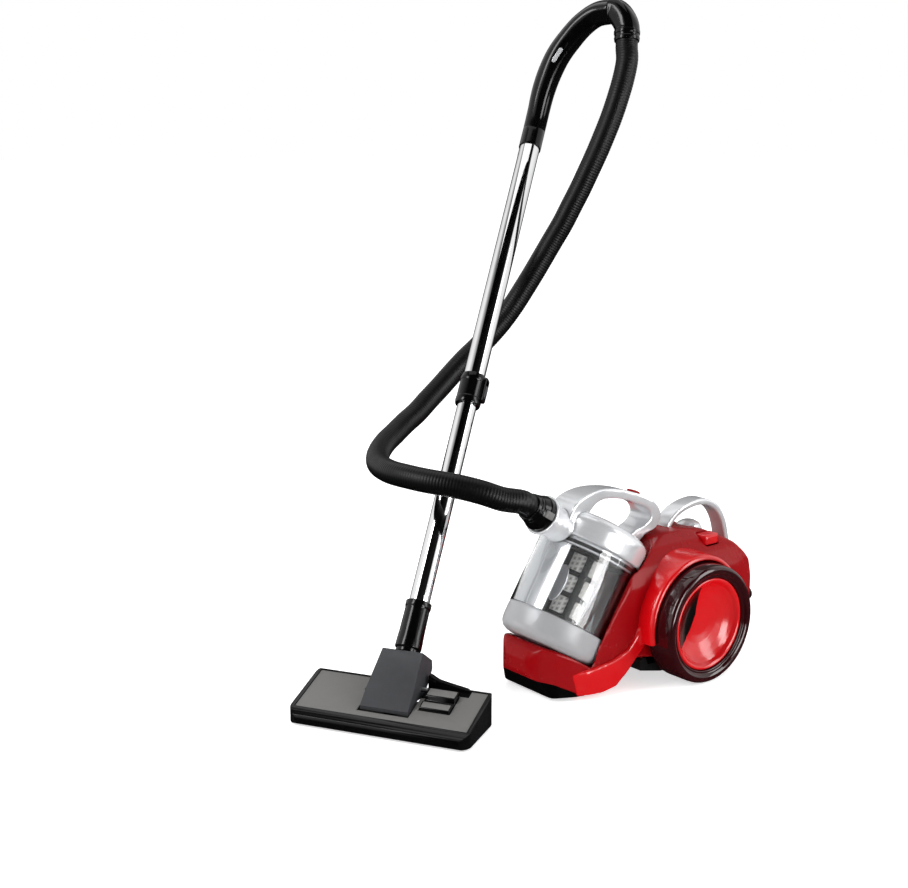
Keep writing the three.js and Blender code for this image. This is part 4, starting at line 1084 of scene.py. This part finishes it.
FLUTES, FLUTE_DEPTH_MM = 24, 0.5
dial = turned("power_dial", [(0, 160), (5, 160), (5, 179), (20, 179), (22, 184),
                             (21.5, 192), (17, 200), (9, 204.5), (0, 206)],
              upright(0, DIAL_BACK), 2.2, 144)
dial_axis = spot("power_dial_turn")
for point in dial.data.vertices:
    across = point.co - dial_axis
    reach = math.hypot(across.x, across.y)
    height = point.co.z / MM
    if reach > 17 * MM and 181 < height < 196:
        turn = math.atan2(across.y, across.x)
        inward = (0.5 - 0.5 * math.cos(FLUTES * turn)) * FLUTE_DEPTH_MM * MM
        point.co.x -= inward * across.x / reach
        point.co.y -= inward * across.y / reach
dress(dial, silver_lacquer, "dial", "silver", "power_dial")

KEY_BODIES = {"power_button": "power_key", "rewind_button": "rewind_key"}
for name, x in KEYS.items():
    key = key_body(name, 0)
    overlap(key, slab("dome", [(x - 20, 184), (x + 20, 184), (x + 20, 190), (x + 8, 198),
                               (x - 8, 198), (x - 20, 190)], 0, 120, FLOOR, "y"))
    bevelled(key, 1.6, 4)
    dress(key, red_abs, KEY_BODIES[name], "red_gloss", name)

# %% [markdown]
# ## The floor head
# The head is a low black moulding with a grey inlaid plate that slopes up to the
# back, a tilting yoke for the wand, and a two-step rocker pedal that drops the brush.
# Outlines and bevels are enough here, since the real one is all flats and radii.

# %% Head body and inlaid plate
HEAD_HALF, HEAD_SLOPE, PLATE_LIFT = 133, 15, 22
PEDAL = (46, 90, 34, 72)


def slope(y):
    return PLATE_LIFT + y * math.tan(math.radians(HEAD_SLOPE))


ROLLERS = {"front_left": (112, 2, 6.5), "front_right": (-112, 2, 6.5),
           "rear_left": (112, 86, 9), "rear_right": (-112, 86, 9)}


def sideways(x, y, z):
    return local(HEAD @ Vector((x, y, z)), head_across, head_back)


body_side = [(-12, 3), (-12, 14), (-8, 19), (-2, slope(-2) + 1), (90, slope(90) + 1),
             (96, slope(90) - 3), (98, 34), (98, 3)]
head_body = slab("head_body", rounded(body_side, 4), -HEAD_HALF, HEAD_HALF, HEAD, "x")
overlap(head_body, slab("plan", round_rect(2 * HEAD_HALF, 110, 18, (0, 43), 10), 0, 90, HEAD))
hump = slab("hump", rounded([(38, 20), (38, 62), (52, 54), (74, 50), (98, 46), (102, 20)], 5),
            74, 95, HEAD, "y")
well = (-38, 38, 15, 120, 14, 120)
carve(hump, block("well", *well, HEAD))
ears = [slab("ear", rounded([(60, 12), (64, 50), (80, 50), (92, 40), (95, 12)], 4),
             min(side * 38, side * 46), max(side * 38, side * 46), HEAD, "x")
        for side in (1, -1)]
combine(head_body, "UNION", [hump, *ears])
cavity = slab("cavity", [(2, -1), (2, slope(2) - 6.5), (84, slope(84) - 6.5), (84, -1)],
              -98, 98, HEAD, "x")
carve(cavity, block("well_wall", -41.5, 41.5, 11, 120, 11, 120, HEAD))
tools = [slab("inlay", [(3, slope(3) - 2.8), (87, slope(87) - 2.8), (87, 90), (3, 90)],
              -127, 127, HEAD, "x"),
         cavity, block("well", *well, HEAD),
         block("pedal_hole", PEDAL[0] - 1, PEDAL[1] + 1, PEDAL[2] - 1, PEDAL[3] + 1, 10, 90,
               HEAD),
         block("duct", -14, 14, 46, 74, 5, 20, HEAD),
         rod("pin_bore", 3.3, -46, 46, sideways(0, HEAD_PIVOT_BACK, 45), 48)]
for x, y, radius in ROLLERS.values():
    tools += [rod("roller_well", radius + 1, -7, 7, sideways(x, y, radius), 48),
              rod("roller_bore", 2.4, -10, 10, sideways(x, y, radius), 24),
              block("roller_slot", x - 10, x + 10, y - 2.4, y + 2.4, -5, radius, HEAD)]
carve(head_body, *tools)
bevelled(head_body, 1.1, 3, 40)
dress(head_body, black_gloss_abs, "floor_head", "black_satin", "head_body", crease=50)

top_plate = slab("top_plate", [(3.4, slope(3.4) - 2.5), (86.6, slope(86.6) - 2.5),
                               (86.6, slope(86.6)), (3.4, slope(3.4))], -126.6, 126.6, HEAD,
                 "x")
carve(top_plate, block("yoke_gap", -38.4, 38.4, 14.6, 120, 0, 90, HEAD),
      block("ear_gap", -46.4, 46.4, 59, 120, 0, 90, HEAD),
      block("pedal_gap", PEDAL[0] - 1, PEDAL[1] + 1, PEDAL[2] - 1, PEDAL[3] + 1, 0, 90, HEAD),
      block("hump_gap", 37, 103, 73.6, 120, 0, 90, HEAD))
bevelled(top_plate, 0.6, 3)
dress(top_plate, grey_plate_abs, "floor_head", "grey", "top_plate")

# %% [markdown]
# The yoke is a wedge with one broad flat front. The wand's socket turns inside it, so
# it is bored along the wand's axis, and two steel pins let it tilt on the head.

# %% Yoke, pins, pedal and sole
YOKE_SIDE = [(-52, -19), (-52, -14), (8, 42), (14, 47), (42, 27), (40, 16), (24, 2),
             (13, -5), (8, -11), (0, -14), (-9, -11), (-18, -10)]
yoke = slab("head_yoke", YOKE_SIDE, -37, 37, YOKE, "x")
overlap(yoke, slab("front", [(-36, -30), (36, -30), (35, 5), (29, 60), (-29, 60), (-35, 5)],
                   -80, 80, YOKE, "y"))
carve(yoke, rod("throat", 12, -40, 90, WAND), rod("groove", 17, 45.5, 53.5, WAND),
      rod("seat", 19.5, 53.2, 90, WAND),
      rod("pin_left", 3.3, 20, 60, local(pivot, head_across, UP), 36),
      rod("pin_right", 3.3, -60, -20, local(pivot, head_across, UP), 36))
bevelled(yoke, 0.8, 3)
dress(yoke, dark_grey_abs, "yoke", "grey_dark", "head_yoke")
for side, low, high in (("left", 21, 44), ("right", -44, -21)):
    pin = turned("yoke_pin_" + side, [(0, low), (3, low), (3, high), (0, high)],
                 local(pivot, head_across, UP), 0.5, 36)
    dress(pin, bright_steel, "yoke", "steel", "yoke_pin_" + side)

x0, x1, y0, y1 = PEDAL
pedal_side = [(y0, slope(y0) - 6), (y0, slope(y0) + 4), (y0 + 13, slope(y0 + 13) + 5),
              (y0 + 14, slope(y0 + 14) + 1), (y0 + 21, slope(y0 + 21) + 1),
              (y0 + 22, slope(y0 + 22) + 7), (y1, slope(y1) + 8), (y1, slope(y1) - 6)]
pedal = slab("brush_pedal", pedal_side, x0, x1, HEAD, "x")
bevelled(pedal, 0.8, 3)
dress(pedal, black_gloss_abs, "pedal", "black_gloss", "brush_pedal")
# The pads are painted highlights: grey strips on the pedal's two steps stand for the light lines
# along their edges.
HIGHLIGHT_PADS = ((y0 + 1.5, y0 + 11.5, 4.15, 5.0), (y0 + 24, y1 - 1.5, 7.25, 8.0))
for number, (front, back, rise_front, rise_back) in enumerate(HIGHLIGHT_PADS):
    low = slope(front) + rise_front - 1.2, slope(back) + rise_back - 1.2
    highlight_pad = slab(f"pedal_painted_highlight_{number}", [(front, low[0]), (back, low[1]), (back, low[1] + 1.5),
                                       (front, low[0] + 1.5)], x0 + 2, x1 - 2, HEAD, "x")
    bevelled(highlight_pad, 0.5, 2)
    dress(highlight_pad, grey_plate_abs, "pedal", "grey")

sole = slab("sole_plate", round_rect(195, 81, 4, (0, 43)), 3, 4.6, HEAD)
carve(sole, block("mouth", -80, 80, 36, 56, 0, 10, HEAD),
      block("brush_slot", -90, 90, 11.6, 18.4, 0, 10, HEAD))
bevelled(sole, 0.3, 2)
dress(sole, bright_steel, "floor_head", "steel", "sole_plate")

# %% [markdown]
# The brush is a row of bristle tufts in a bar. Each tuft is a tapered bundle, and 36
# of them show as a brush where one block would not.

# %% Brush strip and rollers
TUFTS = 36
brush = block("brush_strip", -89.4, 89.4, 12.4, 17.6, 8.4, 10.4, HEAD)
tufts = []
for k in range(TUFTS):
    x = -87 + 174 * k / (TUFTS - 1)
    tufts.append(turned("tuft", [(0, 5.3), (1.6, 5.3), (2.2, 8.6), (0, 8.6)],
                        local(HEAD @ Vector((x, 15, 0)), UP, head_across), 0.2, 12))
heap(brush, *tufts)
dress(brush, nylon_bristle, "brush", "foam", "brush_strip")

for number, (place, (x, y, radius)) in enumerate(ROLLERS.items(), 1):
    tread = radius - 0.5
    roller = turned("roller_" + place, [
        (0, -9.4), (2, -9.4), (2, -6.2), (tread, -6.2), (radius, -5), (radius, -1),
        (tread, 0), (radius, 1), (radius, 5), (tread, 6.2), (2, 6.2), (2, 9.4), (0, 9.4)],
        sideways(x, y, radius), 0.3, 64)
    dress(roller, tyre_rubber, f"roller_{number}", "rubber", "roller_" + place)

# %% [markdown]
# ## What stays as CAD
# The motor, filters, reel, caster, tray, gland and grille are already the right shape
# and sit inside or under the shell. They keep their CAD meshes, with a real finish
# each and a fine bevel, which is a modifier and so leaves the mesh itself alone.

# %% Finishes for the CAD nodes that stay
KEPT = {
    "base_tray": black_satin_abs, "caster_fork": black_satin_abs,
    "caster_wheel": tyre_rubber, "caster_pin": bright_steel,
    "motor_housing": black_satin_abs, "motor_rotor": wound_copper,
    "motor_mount": tyre_rubber, "motor_filter": open_foam, "exhaust_filter": filter_paper,
    "cord_reel": dark_grey_abs, "reel_axle": bright_steel, "exhaust_grille": black_satin_abs,
    "cord_gland": tyre_rubber}
BEVEL_KEPT_MM = 0.4
for name, finish in KEPT.items():
    node = frame["nodes"][name]
    for place in node.material_slots:
        place.link = "OBJECT"
        place.material = finish
    edge = node.modifiers.new("bevel", "BEVEL")
    edge.width = BEVEL_KEPT_MM * MM
    edge.segments = 2
    edge.limit_method = "ANGLE"
    edge.angle_limit = math.radians(40)
left_out = [name for name, node in frame["nodes"].items()
            if not node.hide_render and name not in KEPT]
print("CAD nodes still in their plain finish:", left_out)

# %% [markdown]
# ## Floor, light and room
# A pale floor runs back without an edge. It also glows a little, so it stays white, and
# gloss does not mirror it. The room is not one real room: matt surfaces are lit by an
# even grey, while gloss mirrors a room that is white on both sides and dark around the
# camera, above, below and behind. The dark end draws the black line down the middle
# of a chrome tube, and the white sides are what the black parts and the fender mirror.
# One more light is seen by gloss alone, and draws the pale streak on the bin.

# %% Floor
FLOOR_HALF = 60.0
paper = bpy.data.meshes.new("floor")
paper.from_pydata([(-FLOOR_HALF, -FLOOR_HALF, 0), (FLOOR_HALF, -FLOOR_HALF, 0),
                   (FLOOR_HALF, FLOOR_HALF, 0), (-FLOOR_HALF, FLOOR_HALF, 0)], [], [(0, 1, 2, 3)])
floor = bpy.data.objects.new("floor", paper)
bpy.context.scene.collection.objects.link(floor)
seamless, tree, surface, place = start("pale_paper_floor", Roughness=0.9,
                                       Specular_IOR_Level=0.0, Emission_Strength=0.6)
surface.inputs["Emission Color"].default_value = (1, 1, 1, 1)
fibre = add(tree, "TexNoise", {"Vector": place, "Scale": 1000 / 4, "Detail": 3.0})
tint = add(tree, "Mix", {"Factor": fibre.outputs["Fac"], "A": linear("#fbfbfb"),
                         "B": linear("#ffffff")}, data_type="RGBA")
join_to(tree, surface, Base_Color=tint.outputs["Result"])
floor.data.materials.append(seamless)
floor.visible_glossy = False  # gloss then shows the dark below, as on a dark stand

# %% Room and lights
LIT_WALL, DARK_END, DARK_BACK, DIM_CEILING, UNDER = 1.1, 0.01, 0.12, 0.1, 0.05
EVEN_LIGHT = 0.62
world = bpy.data.worlds.new("studio")
world.use_nodes = True
bpy.context.scene.world = world
room = world.node_tree


def fade(value, low, high, at_low, at_high):
    return add(room, "MapRange", {"Value": value, "From Min": low, "From Max": high,
                                  "To Min": at_low, "To Max": at_high},
               interpolation_type="SMOOTHSTEP").outputs[0]


def times(first, second):
    return add(room, "Math", {0: first, 1: second}, operation="MULTIPLY").outputs[0]


way = add(room, "TexCoord").outputs["Generated"]
wand_way = heading("telescope_slide")
dark_middle = (toward_camera - wand_way * toward_camera.dot(wand_way)).normalized()
along = add(room, "VectorMath", {0: way, 1: tuple(wand_way)}, operation="DOT_PRODUCT")
stalk = add(room, "VectorMath", {0: tuple(wand_way), "Scale": along.outputs["Value"]},
            operation="SCALE")
flat = add(room, "VectorMath", {0: way, 1: stalk.outputs[0]}, operation="SUBTRACT")
spoke = add(room, "VectorMath", {0: flat.outputs[0]}, operation="NORMALIZE")
facing = add(room, "VectorMath", {0: spoke.outputs[0], 1: tuple(dark_middle)},
             operation="DOT_PRODUCT").outputs["Value"]
height = add(room, "SeparateXYZ", {0: way}).outputs["Z"]
mirrored = times(times(fade(facing, 0.72, 0.8, LIT_WALL, DARK_END),
                       fade(facing, -0.86, -0.72, DARK_BACK, 1.0)),
                 times(fade(height, 0.6, 0.9, 1.0, DIM_CEILING),
                       fade(height, -0.2, 0.0, UNDER, 1.0)))
ray = add(room, "LightPath")
level = add(room, "Mix", {"Factor": ray.outputs["Is Glossy Ray"], "A": EVEN_LIGHT,
                          "B": mirrored})
seen = add(room, "Math", {0: ray.outputs["Is Camera Ray"],
                          1: ray.outputs["Is Transmission Ray"]}, operation="MAXIMUM")
shown = add(room, "Mix", {"Factor": seen.outputs[0], "A": level.outputs[0], "B": 1.0})
room.links.new(shown.outputs[0], room.nodes["Background"].inputs["Strength"])
room.nodes["Background"].inputs["Color"].default_value = (1, 1, 1, 1)


def soft_light(name, turn, height, distance, width, tall, power, shapes_form=True):
    """A soft box: turn is degrees round from the camera, to the right of its view."""
    angle = azimuth + math.radians(turn)
    way_out = Vector((math.sin(angle), -math.cos(angle), 0))
    lamp = bpy.data.lights.new(name, "AREA")
    lamp.shape = "RECTANGLE"
    lamp.size, lamp.size_y = width, tall
    lamp.energy = power
    box = bpy.data.objects.new(name, lamp)
    box.location = LOOK_AT + way_out * distance + UP * height
    aim = box.location - LOOK_AT
    box.rotation_euler = aim.to_track_quat("Z", "Y").to_euler()
    box.visible_camera = False
    box.visible_diffuse = shapes_form
    bpy.context.scene.collection.objects.link(box)


soft_light("key_left", -62, 1.5, 2.4, 0.7, 1.6, 42)
soft_light("strip_right", 76, 0.6, 2.4, 0.7, 2.0, 24)
soft_light("cup_streak", 42, 0.1, 2.4, 0.8, 1.4, 40, shapes_form=False)
soft_light("top", 180, 2.2, 0.6, 2.0, 2.0, 16)
bpy.context.scene.view_settings.view_transform = "Standard"
